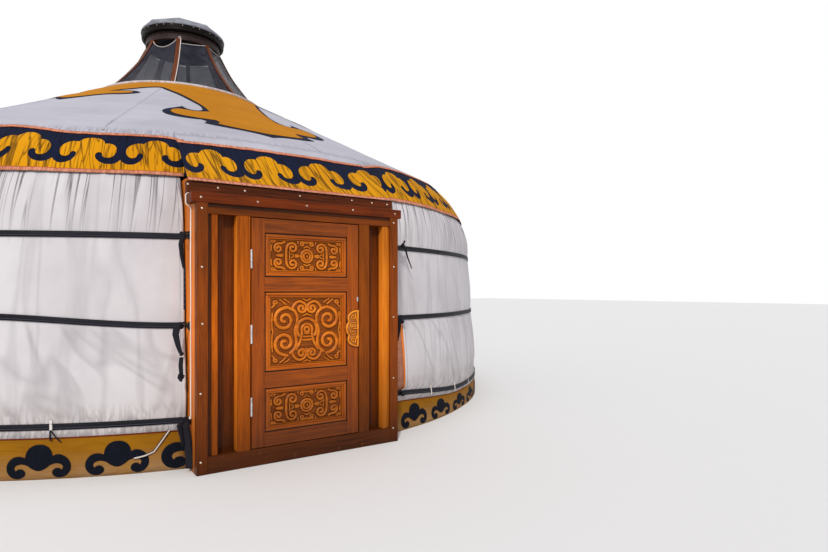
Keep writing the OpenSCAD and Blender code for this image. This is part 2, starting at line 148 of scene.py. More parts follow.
def along(points, x):
    """Value at x of a smooth line through points"""
    k = max(0, min(len(points) - 2, sum(x > p[0] for p in points) - 1))
    steep = [(b[1] - a[1]) / (b[0] - a[0]) for a, b in zip(points, points[1:])]
    m0 = (steep[max(k - 1, 0)] + steep[k]) / 2
    m1 = (steep[k] + steep[min(k + 1, len(steep) - 1)]) / 2
    (x0, y0), (x1, y1) = points[k], points[k + 1]
    h = x1 - x0
    t = min(max((x - x0) / h, 0.0), 1.0)
    return ((2 * t**3 - 3 * t**2 + 1) * y0 + (t**3 - 2 * t**2 + t) * h * m0
            + (3 * t**2 - 2 * t**3) * y1 + (t**3 - t**2) * h * m1)


def between(low, high, x):
    """0 below low, 1 above high, smooth in between"""
    t = min(max((x - low) / (high - low), 0.0), 1.0)
    return t * t * (3 - 2 * t)


def rough_at(x, y, z):
    """Smooth noise at a place"""
    return noise.noise((x, y, z))


wall_line = ((0.0, 4.137), (0.3, 4.124), (0.372, 4.116), (0.48, 4.128), (0.73, 4.114), (0.98, 4.086),
             (1.088, 4.073), (1.2, 4.076), (1.43, 4.066), (1.67, 4.042), (1.773, 4.031), (1.9, 4.034),
             (2.05, 4.008), (2.18, 3.962), (2.245, 3.934), (2.31, 3.892))
strap_zs = (0.372, 1.088, 1.773)
canvas_hem = 0.297
canvas_top = 2.3
edge_x = 0.893

# Crease rows: from a height, down to another, degrees apart, lean in degrees a metre, depth, and width.
crease_rows = ((2.32, 1.78, 1.7, 1.6, 0.012, 0.34), (2.3, 2.0, 1.2, 0.8, 0.008, 0.26),
               (1.76, 1.1, 2.6, 1.2, 0.003, 0.42), (1.07, 0.39, 1.9, 5.5, 0.0042, 0.45),
               (0.5, 0.38, 0.75, 0.3, 0.0035, 0.22), (1.84, 1.78, 0.8, 0.2, 0.003, 0.22),
               (1.76, 1.66, 1.0, 0.2, 0.002, 0.22), (1.17, 1.095, 1.0, 0.2, 0.002, 0.22))
chance = random.Random(7)
creases_by_angle = {}
for first, last, apart, slant, deep, wide in crease_rows:
    start = 11.0
    while start < 349.0:
        top = first - chance.uniform(0.0, 0.25) * (first - last)
        foot = last + chance.uniform(0.0, 0.5) * (first - last)
        lean = slant * chance.uniform(0.3, 1.0) * (1 if slant > 3 else chance.choice((-1, 1)))
        crease = (start, top, foot, lean, deep * chance.uniform(0.35, 1.0), wide * chance.uniform(0.7, 1.4))
        reach = [start, start + lean * (top - foot)]
        for slot in range(int(min(reach) - 2), int(max(reach) + 3)):
            creases_by_angle.setdefault(slot, []).append(crease)
        start += apart * chance.uniform(0.5, 1.5)


def wall_at(azimuth, height, lift=0.0):
    """Point on the outside of the wall canvas with its folds and creases, lifted off the cloth"""
    flat = at(4.06, azimuth, height)
    near = exp(-min(abs(height - z) for z in strap_zs) / 0.06)
    hang = between(1.8, 2.22, height)
    relief = 0.01 * hang * rough_at(flat.x * 4.2, flat.y * 4.2, height * 0.5)
    relief += 0.005 * (1 - near) * rough_at(flat.x * 1.7, flat.y * 1.7, height * 0.8 + 7.0)
    for start, top, foot, lean, deep, wide in creases_by_angle.get(int(azimuth), ()):
        if foot < height < top:
            t = (top - height) / (top - foot)
            off = (azimuth - start - lean * (top - height)) / wide
            if abs(off) < 2.5:
                ridge = exp(-off * off) - 0.5 * exp(-(off - 1.2) ** 2)
                relief += deep * sin(pi * t) ** 0.7 * ridge
    return at(along(wall_line, height) + relief + lift, azimuth, height)


def hang_low(azimuth):
    """Share by which the foot of the cloth hangs lower than on the left, to the right of the door"""
    return 0.3 * between(12.0, 34.0, azimuth % 360) * (1 - between(50.0, 85.0, azimuth % 360))


def sight(half, radius):
    """Angle from the door's middle at which a half width ends"""
    return degrees(asin(half / radius))


def round_wall(edge, u):
    """Angle at a share of the way round the wall, from one side of the door to the other"""
    return edge + u * (360 - 2 * edge)


def piece(name, made, finishes, body="yurt", smooth=True, depth=0.0, side=-1.0, stands_for=()):
    """A new object from a bmesh, riding on a body; a depth makes it a sheet, inwards unless told otherwise"""
    mesh = as_mesh(name, made)
    for finish in finishes:
        mesh.materials.append(finish)
    if smooth:
        mesh.shade_smooth()
    new = placed(name, mesh)
    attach(new, body)
    if depth:
        wall = new.modifiers.new("thickness", "SOLIDIFY")
        wall.thickness = depth
        wall.offset = side
    if stands_for:
        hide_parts(*stands_for)
    return new


def laid_cloth(columns, rows, place, width, length, made=None, finish=0):
    """A grid of cloth with a map in metres, each point put where place(u, v) says"""
    made = made or bmesh.new()
    flat_map = made.loops.layers.uv.get("cloth") or made.loops.layers.uv.new("cloth")
    grid = bmesh.ops.create_grid(made, x_segments=columns, y_segments=rows, size=0.5)["verts"]
    for face in {face for vert in grid for face in vert.link_faces}:
        face.material_index = finish
        for loop in face.loops:
            loop[flat_map].uv = ((loop.vert.co.x + 0.5) * width, (loop.vert.co.y + 0.5) * length)
    for vert in grid:
        vert.co = place(vert.co.x + 0.5, vert.co.y + 0.5)
    return made


def map_middle(made, face):
    """The middle of a face on the map of its cloth"""
    corners = [loop[made.loops.layers.uv["cloth"]].uv for loop in face.loops]
    return sum(corners, Vector((0, 0))) / len(corners)


def welded(made, reach=0.0005):
    """The same bmesh with the points that meet joined"""
    bmesh.ops.remove_doubles(made, verts=made.verts, dist=reach)
    return made


def patches(vector, scale, detail, roughness=0.5, distortion=0.0):
    """Cloudy noise"""
    values = {"Scale": scale, "Detail": detail, "Roughness": roughness, "Distortion": distortion}
    return add(vector.id_data, "TexNoise", {"Vector": vector, **values}).outputs["Fac"]


def ramp(value, start, end, low=0.0, high=1.0):
    """A value's way from start to end as a way from low to high"""
    values = {"Value": value, "From Min": start, "From Max": end, "To Min": low, "To Max": high}
    return add(value.id_data, "MapRange", values).outputs[0]


def mix(share, first, second):
    """Two colours mixed by the second one's share"""
    return add(share.id_data, "Mix", {"Factor": share, 6: first, 7: second}, data_type="RGBA").outputs[2]


def scaled(vector, by):
    """A vector scaled by a value, or on each axis by its own"""
    if isinstance(by, tuple):
        return calc("MULTIPLY", vector, by, kind="VectorMath")
    return add(vector.id_data, "VectorMath", {0: vector, "Scale": by}, operation="SCALE").outputs[0]


def bump(height, strength=1.0, distance=1.0):
    """Relief from a height"""
    values = {"Height": height, "Strength": strength, "Distance": distance}
    return add(height.id_data, "Bump", values).outputs[0]


def axis(vector, k):
    """One coordinate of a vector"""
    return add(vector.id_data, "SeparateXYZ", {0: vector}).outputs[k]


def object_spot(node):
    """The place on the object, in metres, for the tree of a node"""
    return add(node.id_data, "TexCoord").outputs["Object"]


def new_group(name, inputs, outputs):
    """An empty shader node group with its sockets: the tree, what comes in, and the node for the result"""
    group = bpy.data.node_groups.new(name, "ShaderNodeTree")
    for way, sockets in (("INPUT", inputs), ("OUTPUT", outputs)):
        for title, kind in sockets.items():
            group.interface.new_socket(title, in_out=way, socket_type="NodeSocket" + kind)
    return group, group.nodes.new("NodeGroupInput").outputs, group.nodes.new("NodeGroupOutput")


def use(group, **values):
    """What a node group gives with its own values, in the tree of its vector"""
    return add(values["Vector"].id_data, "Group", values, node_tree=group).outputs


def srgb(red, green, blue):
    """A colour as it looks on screen, 0 to 255, as the shader wants it"""
    shares = [part / 255 for part in (red, green, blue)]
    return tuple(((c + 0.055) / 1.055) ** 2.4 if c > 10 / 255 else c / 12.92 for c in shares) + (1,)


weave, given, result = new_group("weave", {"Vector": "Vector", "Threads": "Float"}, {"Height": "Float"})
spread = add(weave, "SeparateXYZ", {0: scaled(given["Vector"], given["Threads"])}).outputs
link(result, Height=calc("MULTIPLY", calc("SINE", spread[0]), calc("SINE", spread[1])))

# Crease lines: Height is their relief, and Dark is how much painted shade goes into the colour along them.
creased, given, result = new_group(
    "creased", {"Vector": "Vector", "Across": "Float", "Along": "Float", "Turn": "Float", "Sharp": "Float"},
    {"Height": "Float", "Dark": "Float"})
spun = add(creased, "VectorRotate", {"Vector": given["Vector"], "Angle": given["Turn"]},
           rotation_type="Z_AXIS")
stretch = add(creased, "CombineXYZ", {0: given["Across"], 1: given["Along"], 2: 1.0})
drawn = calc("MULTIPLY", spun.outputs[0], stretch.outputs[0], kind="VectorMath")
valley = calc("ABSOLUTE", calc("SUBTRACT", patches(drawn, 1.0, 2.0, 0.5, 0.4), 0.5))
slope = calc("MULTIPLY", valley, given["Sharp"], use_clamp=True)
link(result, Height=slope, Dark=calc("SUBTRACT", 1.0, slope))

tone, given, result = new_group(
    "tone", {"Vector": "Vector", "Clean": "Color", "Worn": "Color", "Size": "Float", "Amount": "Float"},
    {"Color": "Color"})
worn_share = ramp(patches(given["Vector"], given["Size"], 5.0, 0.6), 0.38, 0.68, 0.0, given["Amount"])
link(result, Color=mix(worn_share, given["Clean"], given["Worn"]))

thread_height = 0.00012
dust = srgb(172, 152, 128)


def cloth(name, clean, worn, folds=(), shade=(0, 0, 0), threads=2600.0, roughness=0.85, grime=0.0):
    """Woven cloth with sun-faded tone, threads, dust near the ground and creases.

    A fold is (across, along, turn, sharp, depth, dark, from, to); dark is the share of painted shade, in the
    shade colour, along its crease lines. It comes in between two heights of the map.
    """
    made, shader = material(name, roughness, Specular_IOR_Level=0.12)
    laid = add(made.node_tree, "UVMap", uv_map="cloth").outputs[0]
    place = object_spot(shader)
    colour = use(tone, Vector=place, Clean=srgb(*clean), Worn=srgb(*worn), Size=1.3, Amount=0.8)[0]
    height = calc("MULTIPLY", use(weave, Vector=laid, Threads=threads)[0], thread_height)
    for across, run, turn, sharp, depth, dark, begin, full in folds:
        lines = use(creased, Vector=laid, Across=across, Along=run, Turn=turn, Sharp=sharp)
        where = ramp(axis(laid, 1), begin, full)
        height = calc("ADD", height, calc("MULTIPLY", calc("MULTIPLY", lines["Height"], where), depth))
        # Painted shade: the crease lines pull the colour towards the shade colour.
        colour = mix(calc("MULTIPLY", calc("MULTIPLY", lines["Dark"], where), dark), colour, srgb(*shade))
    if grime:
        low = ramp(axis(place, 2), 0.0, grime, 0.6, 0.0)
        colour = mix(calc("MULTIPLY", low, patches(place, 5.0, 6.0)), colour, dust)
    link(shader, Base_Color=colour, Normal=bump(height))
    return made


# Its folds paint shade into the creases all over the wall, darkest under the eave.
white_canvas = cloth("white_canvas", (209, 206, 208), (194, 189, 193), shade=(92, 84, 90), grime=0.75,
                     folds=((15.0, 0.36, 0.12, 30.0, 0.0032, 0.85, 1.34, 1.8),
                            (4.0, 0.6, 0.05, 16.0, 0.0014, 0.16, -1, 0),
                            (2.2, 0.9, -0.7, 22.0, 0.002, 0.22, 0.8, 0.72),
                            (20.0, 5.0, 0.0, 8.0, 0.0012, 0.45, 0.24, 0.09)))


def edge_at(height, side=1):
    """Azimuth of the canvas's edge beside the door; low on the right it is drawn back from the frame"""
    drawn = 3.95 * between(0.3, 0.4, height) * (1 - between(1.05, 1.13, height)) if side > 0 else 0.0
    return sight(edge_x, along(wall_line, height)) + drawn


def wall_place(u, v):
    height = canvas_hem + (canvas_top - canvas_hem) * v
    azimuth = edge_at(height) + u * (360 - edge_at(height) - edge_at(height, -1))
    return wall_at(azimuth, height - canvas_hem * hang_low(azimuth) * (1 - v) ** 3)


wall_size = (23.9, 1.94)
wall_canvas = piece("wall_canvas", laid_cloth(960, 34, wall_place, *wall_size), [white_canvas],
                    depth=0.003, stands_for=["wall_cover_front_right", "wall_cover_back_right",
                                             "wall_cover_back_left", "wall_cover_front_left"])
lattices = ["lattice_front_left", "lattice_front_right", "lattice_back_left", "lattice_back_right"]

# Wall felt: a thick off-white wool felt under the canvas, which shows between the laths from inside.
felt_wool = cloth("felt_wool", (206, 200, 188), (184, 176, 160), threads=500.0, roughness=0.95)
felt_edge_x = 0.886
felt_size = (23.8, 2.2)


def wall_felt_place(u, v):
    height = 0.02 + felt_size[1] * v
    radius = along(wall_line, height)
    return at(radius - 0.012, round_wall(sight(felt_edge_x, radius), u), height)


wall_felt = piece("wall_felt", laid_cloth(240, 12, wall_felt_place, *felt_size), [felt_wool],
                  depth=0.012)

# Skirt: a yellow cloth band round the foot of the wall, with cloud shapes sewn on in navy blue.
# It hangs from under the canvas hem to the ground and is drawn together at the door frame.
skirt_yellow = cloth("skirt_yellow", (144, 96, 10), (126, 79, 8), shade=(120, 74, 6), grime=0.2,
                     folds=((3.0, 14.0, 0.0, 9.0, 0.0016, 0.3, -1, 0),
                            (16.0, 3.0, 0.1, 9.0, 0.0012, 0.3, 0.2, 0.34)))
skirt_line = ((0.0, 4.134), (0.12, 4.131), (0.25, 4.119), (0.34, 4.11))
skirt_r = 4.12
skirt_size = (24.2, 0.34)
skirt_edge = sight(edge_x, skirt_r)


def skirt_at(azimuth, height, lift=0.0):
    height *= 1 - hang_low(azimuth)
    flat = at(4.1, azimuth, height)
    slack = 0.007 * rough_at(flat.x * 1.6, flat.y * 1.6, height * 7.0) * between(0.33, 0.22, height)
    return at(along(skirt_line, height) + slack + lift, azimuth, height)


def skirt_place(u, v):
    return skirt_at(round_wall(skirt_edge, u), skirt_size[1] * v)


skirt = piece("skirt_cloth", laid_cloth(420, 8, skirt_place, *skirt_size), [skirt_yellow],
              depth=0.003, stands_for=["skirt_right", "skirt_left"])


def drawn_mesh(line):
    """The mesh of a curve, which is then removed"""
    drawn = placed("line", line)
    bpy.context.view_layer.update()
    shape = bpy.data.meshes.new_from_object(drawn.evaluated_get(bpy.context.evaluated_depsgraph_get()))
    bpy.data.objects.remove(drawn)
    bpy.data.curves.remove(line)
    return shape


def cut_out(name, outline, wide=1.0, high=1.0, close_up=4):
    """A flat piece cut to a smooth outline of (x, y, smooth) points, as a mesh"""
    line = bpy.data.curves.new(name, "CURVE")
    line.dimensions = "2D"
    line.fill_mode = "BOTH"
    line.resolution_u = close_up
    spline = line.splines.new("BEZIER")
    spline.bezier_points.add(len(outline) - 1)
    for point, (x, y, smooth) in zip(spline.bezier_points, outline):
        point.co = (x * wide, y * high, 0.0)
        point.handle_left_type = point.handle_right_type = "AUTO" if smooth else "VECTOR"
    spline.use_cyclic_u = True
    return drawn_mesh(line)


def split(made, spot, way, **clear):
    """Cuts a bmesh all through with a plane"""
    whole = made.verts[:] + made.edges[:] + made.faces[:]
    bmesh.ops.bisect_plane(made, geom=whole, plane_co=spot, plane_no=way, **clear)


def sewn_on(shape, starts, place, seam, step=(0.024, 0.05), apart=0.0, kept=None):
    """A cut shape sewn on at each start, with a dark seam round it; place(start, x, y) bends it onto cloth"""
    single = bmesh.new()
    single.from_mesh(shape)
    welded(single, 0.0001)
    bmesh.ops.recalc_face_normals(single, faces=single.faces)
    if sum(face.normal.z for face in single.faces) < 0:
        bmesh.ops.reverse_faces(single, faces=single.faces)
    for face in bmesh.ops.inset_region(single, faces=single.faces[:], thickness=seam, use_outset=True,
                                       use_boundary=True, use_even_offset=True)["faces"]:
        face.material_index = 1
    for edge, clear in zip(kept or (), ("clear_inner", "clear_outer")):
        split(single, (edge, 0, 0), (1, 0, 0), **{clear: True})
    for way, width in ((Vector((1, 0, 0)), step[0]), (Vector((0, 1, 0)), step[1])):
        reach = [vert.co.dot(way) for vert in single.verts]
        low = min(reach)
        for k in range(1, int((max(reach) - low) / width) + 1):
            split(single, way * (low + k * width), way, dist=0.0001)
    flat_map = single.loops.layers.uv.new("cloth")
    for face in single.faces:
        for loop in face.loops:
            loop[flat_map].uv = loop.vert.co.xy
    flat = as_mesh("flat_shape", single)
    row = bmesh.new()
    for start in starts:
        old_verts, old_faces = len(row.verts), len(row.faces)
        row.from_mesh(flat)
        row.verts.ensure_lookup_table()
        row.faces.ensure_lookup_table()
        for vert in row.verts[old_verts:]:
            vert.co = place(start, vert.co.x, vert.co.y)
        flat_map = row.loops.layers.uv["cloth"]
        for face in row.faces[old_faces:]:
            for loop in face.loops:
                loop[flat_map].uv.x += start * apart
    return row


# Its folds paint shade into the gathers of the band.
navy = cloth("navy_cloth", (12, 20, 46), (8, 15, 38), shade=(3, 5, 16),
             folds=((16.0, 1.0, -0.05, 26.0, 0.0016, 0.85, -1, 0),))
outline_blue = cloth("outline_blue", (8, 15, 46), (10, 18, 44))
skirt_navy = cloth("skirt_navy", (11, 15, 28), (9, 12, 24), shade=(4, 6, 13),
                   folds=((14.0, 5.0, 0.3, 8.0, 0.0012, 0.5, -1, 0),))
skirt_cloud_top = (
    (0, 0.32, 1), (0.03, 0.52, 1), (0.11, 0.64, 1), (0.21, 0.66, 1), (0.285, 0.62, 0), (0.31, 0.8, 1),
    (0.38, 0.93, 1), (0.5, 0.98, 1), (0.62, 0.93, 1), (0.69, 0.8, 1), (0.715, 0.66, 0), (0.79, 0.7, 1),
    (0.89, 0.65, 1), (0.97, 0.52, 1), (1, 0.32, 1))
skirt_cloud_foot = (
    (0.96, 0.14, 1), (0.87, 0.04, 1), (0.77, 0.05, 1), (0.71, 0.15, 1), (0.73, 0.27, 1), (0.81, 0.31, 1),
    (0.86, 0.25, 0), (0.875, 0.36, 1), (0.8, 0.44, 1), (0.69, 0.41, 1), (0.6, 0.3, 1))
skirt_cloud_shape = (*skirt_cloud_top, *skirt_cloud_foot, (0.5, 0.24, 1),
                     *((1 - x, y, smooth) for x, y, smooth in reversed(skirt_cloud_foot)))
skirt_starts = [-21.9 - 7.2 * k for k in range(22)] + [15.4 + 7.15 * k for k in range(24)]


def skirt_clouds_at(name, starts, wide, high, kept=None):
    """Navy clouds sewn on the skirt"""
    made = sewn_on(cut_out(name, skirt_cloud_shape, wide, high), starts,
                   lambda start, x, y: skirt_at(start + degrees(x / 4.13), 0.004 + y, 0.0035),
                   0.006, (0.05, 0.05), 0.072, kept)
    return piece(name, made, [skirt_navy, outline_blue])


skirt_clouds = skirt_clouds_at("skirt_clouds", skirt_starts, 0.425, 0.25)
skirt_cloud_cut = skirt_clouds_at("skirt_cloud_cut", [-14.85], 0.6, 0.305, (-0.1, 0.168))
tie_white = cloth("tie_white", (206, 196, 184), (170, 150, 132))
tie_path = ((-13.9, 0.318), (-14.4, 0.268), (-15.0, 0.205), (-15.55, 0.15), (-16.4, 0.128), (-17.4, 0.115))


def tie_place(u, v):
    reach = v * 4.999
    k = int(reach)
    a, b = (Vector((radians(angle) * skirt_r, height)) for angle, height in tie_path[k:k + 2])
    spot = a.lerp(b, reach - k) + Vector((a.y - b.y, b.x - a.x)).normalized() * 0.02 * (u - 0.5)
    return skirt_at(degrees(spot.x / skirt_r), spot.y, 0.007 + 0.003 * sin(9 * v))


tie_made = laid_cloth(4, 30, tie_place, 0.02, 0.32)
for face in tie_made.faces:
    face.material_index = int(abs(map_middle(tie_made, face).x - 0.01) > 0.005)
skirt_tie = piece("skirt_tie", tie_made, [tie_white, outline_blue], depth=0.0015, side=0.0)
hem_red = cloth("hem_red", (120, 40, 22), (100, 34, 20))
binding_made = laid_cloth(420, 1, lambda u, v: skirt_at(round_wall(skirt_edge, u), 0.286 + 0.014 * v, 0.004),
                          24.2, 0.014)
skirt_binding = piece("skirt_binding", binding_made, [hem_red], depth=0.002)

# Roof canvas: one round sheet over the roof felt, sewn from gores, from the crown down to the shoulder.
# It is drawn up in a collar round the crown ring and its lower edge is puckered along the valance.
# Its folds paint shade into the puckers above the valance and faintly across the roof.
roof_white = cloth("roof_white", (184, 184, 194), (169, 168, 179), shade=(110, 104, 116),
                   folds=((46.0, 3.0, 0.0, 12.0, 0.0022, 0.45, 0.42, 0.33),
                          (0.9, 5.0, 0.0, 10.0, 0.0012, 0.08, 0.3, 0.6)))
roof_foot = (3.618, 2.674)
roof_rise = (3.979 - 2.674) / (3.618 - 0.971)
shoulder_r = 3.615


def roof_at(azimuth, radius, lift=0.0):
    """Point on the roof canvas by its distance from the axis, lifted off the cloth"""
    flat = at(radius, azimuth, 0.0)
    sag = 0.007 * rough_at(flat.x * 0.9, flat.y * 0.9, 4.0) + 0.003 * rough_at(flat.x * 3, flat.y * 3, 8.0)
    pucker = 0.005 * between(3.46, 3.6, radius) * rough_at(flat.x * 16, flat.y * 16, 2.0)
    low = 0.014 * between(3.5, 3.62, radius)
    height = roof_foot[1] + (roof_foot[0] - radius) * roof_rise + sag + pucker - low + lift
    return at(radius, azimuth, height)


def roof_place(u, v):
    up = -0.3 + 3.25 * v
    if up > 0:
        return roof_at(360 * u, shoulder_r - up * 0.8968)
    tucked = roof_at(360 * u, shoulder_r).z + 0.788 * up - 0.004
    return at(shoulder_r - 0.616 * up - 0.006, 360 * u, tucked)


def collar_place(u, v):
    roll = radians(-50 + 230 * v)
    rucked = 1 + 0.2 * rough_at(15 * sin(6.283 * u), 15 * cos(6.283 * u), v)
    return at(1.072 + 0.026 * cos(roll) * rucked, 360 * u, 3.936 + 0.024 * sin(roll))


canvas_made = welded(laid_cloth(360, 36, roof_place, 14.5, 3.25))
roof_canvas = piece("roof_canvas", canvas_made, [roof_white], depth=0.003,
                    stands_for=["roof_cover_front_right", "roof_cover_back_right", "roof_cover_back_left",
                                "roof_cover_front_left"])
seams = bmesh.new()
for k in range(12):
    laid_cloth(1, 40, lambda u, v: roof_at(7.5 + 30 * k + degrees((u - 0.5) * 0.016 / (3.6 - 2.5 * v)),
                                           3.6 - 2.5 * v, 0.0013), 0.016, 2.9, seams)
roof_seams = piece("roof_seams", seams, [roof_white], depth=0.0003)
collar_white = cloth("collar_white", (220, 214, 216), (190, 168, 158), shade=(120, 104, 104),
                     folds=((40.0, 6.0, 0.2, 7.0, 0.0015, 0.5, -1, 0),))
crown_collar = piece("crown_collar", welded(laid_cloth(240, 8, collar_place, 6.8, 0.1)), [collar_white],
                     depth=0.003)
felt_made = laid_cloth(180, 14, lambda u, v: roof_at(360 * u, 3.6 + (1.0 - 3.6) * v, -0.016), 14.5, 2.9)
roof_felt = piece("roof_felt", felt_made, [felt_wool], depth=0.008)
poles = ["roof_poles_right", "roof_poles_left"]

# Roof ornament: a ring round the crown with four long and four short horned branches, in the traditional way.
# Yellow cloth is sewn over a slightly larger navy shape, and both have a dark stitched edge.
# Each outline is (degrees from the branch's middle, radius, smooth).
long_side = (
    (24, 1.443, 1), (21.5, 1.53, 1), (18.6, 1.65, 1), (15, 1.83, 1), (11.6, 2.1, 1), (9.6, 2.34, 1),
    (9.5, 2.52, 0), (10.9, 2.585, 1), (12.6, 2.56, 1), (14, 2.44, 0), (15.4, 2.53, 1), (17.2, 2.64, 1),
    (17.7, 2.75, 1), (16.9, 2.87, 1), (15.3, 2.945, 1), (13.4, 2.985, 1), (11.8, 2.995, 1), (10.6, 2.985, 0),
    (9.9, 3.05, 1), (10.4, 3.13, 0), (9, 3.17, 1), (6.8, 3.21, 1), (4, 3.245, 1), (2, 3.28, 1), (0, 3.35, 0))
short_side = (
    (0, 2.29, 0), (3.5, 2.19, 1), (6.5, 2.09, 1), (9.5, 2.03, 1), (13, 2, 1), (16, 1.93, 1), (17.2, 1.84, 1),
    (15, 1.76, 1), (11.5, 1.735, 1), (7.5, 1.77, 0), (9.3, 1.69, 1), (12.2, 1.615, 1), (15.1, 1.525, 1),
    (18, 1.465, 1))
long_yellow = (
    (24, 1.412, 1), (20.8, 1.49, 1), (17.8, 1.61, 1), (14.2, 1.79, 1), (10.8, 2.07, 1), (8.9, 2.32, 1),
    (8.1, 2.58, 0), (10.8, 2.635, 1), (12.8, 2.625, 1), (14.8, 2.61, 1), (16.1, 2.7, 1), (15.8, 2.79, 1),
    (14.6, 2.87, 1), (12.4, 2.93, 1), (10.4, 2.95, 1), (8, 2.96, 0), (7.6, 3.04, 1), (8.1, 3.11, 0),
    (6.2, 3.16, 1), (4, 3.195, 1), (2, 3.215, 1), (0, 3.235, 1))
short_yellow = (
    (0, 2.18, 1), (3.2, 2.13, 1), (6.2, 2.045, 1), (9.5, 1.985, 1), (12.6, 1.95, 1), (14.8, 1.89, 1),
    (14.9, 1.835, 1), (13.6, 1.8, 1), (11, 1.79, 1), (5.6, 1.79, 0), (8, 1.68, 1), (11.2, 1.59, 1),
    (14.4, 1.495, 1), (18, 1.43, 1))
branch_turn = 1.0


def quarter_outline(long_edge, short_edge, inner):
    """A quarter of the ornament about one long branch, from the middle of one short branch to the next"""
    right = list(reversed(long_edge))
    right += [(45 - a, r, s) for a, r, s in reversed(short_edge[1:])] + [(45, short_edge[0][1], 0)]
    left = [(-a, r, s) for a, r, s in reversed(right[1:])]
    rim = [(a, inner, 0) for a in range(45, -46, -9)]
    line = left + right + rim
    return [(r * sin(radians(a)), r * cos(radians(a)), s) for a, r, s in line]


def ornament(name, long_edge, short_edge, inner, lift, seam, finish):
    """The ornament cut from cloth in four quarters, laid on the roof"""
    whole = bmesh.new()
    quarter = cut_out(name, quarter_outline(long_edge, short_edge, inner), close_up=5)
    for k in range(4):
        old = len(whole.verts)
        whole.from_mesh(quarter)
        whole.verts.ensure_lookup_table()
        bmesh.ops.rotate(whole, verts=whole.verts[old:], cent=(0, 0, 0),
                         matrix=Matrix.Rotation(radians(90 * k), 3, "Z"))

    def on_roof(start, x, y):
        return roof_at(degrees(atan2(x, y)) + branch_turn, hypot(x, y), lift)

    made = sewn_on(as_mesh(name, welded(whole, 0.002)), [0], on_roof, seam, (0.08, 0.08))
    piece(name, made, [finish, outline_blue])


roof_yellow = cloth("roof_yellow", (188, 122, 8), (172, 108, 6), shade=(150, 100, 24),
                    folds=((3.0, 3.0, 0.4, 9.0, 0.0008, 0.15, -9, -8),))
ornament("ornament_navy", long_side, short_side, 1.075, 0.004, 0.008, navy)
ornament("ornament_yellow", long_yellow, short_yellow, 1.085, 0.0075, 0.009, roof_yellow)

# Valance: a navy band with yellow cloud scrolls sewn on, bound in pink tape along both edges.
# A straight strip gathered onto the shoulder, it bends over the eave and hangs to the top of the wall.
band_foot = (3.95, 2.25)
band_head = (3.615, 2.678)
band_length = 0.5435
band_lean = ((band_head[0] - band_foot[0]) / band_length, (band_head[1] - band_foot[1]) / band_length)
band_edge = sight(0.861, 3.93)


def band_at(azimuth, up, lift=0.0):
    """Point on the valance, up metres above its lower edge, lifted off the cloth"""
    flat = at(3.8, azimuth, 0.0)
    from_door = min(azimuth % 360, 360 - azimuth % 360)
    if azimuth % 360 > 180:
        up *= 1 - 0.155 * between(33.0, 25.0, from_door) - 0.05 * between(15.0, band_edge, from_door)
    else:
        up *= 1 - 0.2 * between(19.5, band_edge, from_door) - 0.035 * between(40.0, 20.0, from_door)
    t = min(max(up / band_length, 0.0), 1.0)
    gathers = 0.004 * rough_at(flat.x * 12, flat.y * 12, up * 2.0)
    gathers += 0.006 * rough_at(flat.x * 2.4, flat.y * 2.4, up * 1.5 + 9.0)
    out = gathers + 0.03 * sin(pi * t) ** 0.8 + lift
    wave = 0.01 * rough_at(flat.x * 1.3, flat.y * 1.3, 30.0) * (1.0 - 0.3 * t)
    return at(band_foot[0] + band_lean[0] * up + out * band_lean[1], azimuth,
              band_foot[1] + band_lean[1] * up - out * band_lean[0] + wave)


# Its folds paint dark shade into the gathers of the valance.
cloud_yellow = cloth("cloud_yellow", (214, 148, 6), (200, 132, 4), shade=(58, 34, 4),
                     folds=((24.0, 1.2, -0.04, 26.0, 0.002, 0.72, -1, 0),
                            (9.0, 0.8, -0.14, 34.0, 0.002, 0.8, -1, 0)))
pink_tape = cloth("pink_tape", (216, 148, 120), (200, 130, 102), shade=(130, 64, 44),
                  folds=((30.0, 4.0, 0.0, 10.0, 0.001, 0.5, -1, 0),))
tape_edge = cloth("tape_edge", (196, 92, 40), (180, 80, 36))


def strip(name, run, low, high, lift, finish, rows=1, depth=0.002, stands_for=()):
    """A strip along the valance or the flap, from one height above its lower edge to another"""
    columns, length, spot = run
    made = laid_cloth(columns, rows, lambda u, v: spot(u, low + (high - low) * v, lift), length, high - low)
    return piece(name, made, [finish], depth=depth, stands_for=stands_for)


def bound(name, run, foot, head, lift):
    """Pink tape with a thin orange line along both edges of a band; foot and head are their heights"""
    return [strip(f"{name}_tape_lower", run, foot[0], foot[2], lift, pink_tape),
            strip(f"{name}_tape_upper", run, head[1], head[3], lift, pink_tape),
            strip(f"{name}_edge_lower", run, foot[1], foot[3], lift + 0.0012, tape_edge),
            strip(f"{name}_edge_upper", run, head[0], head[2], lift + 0.0012, tape_edge)]


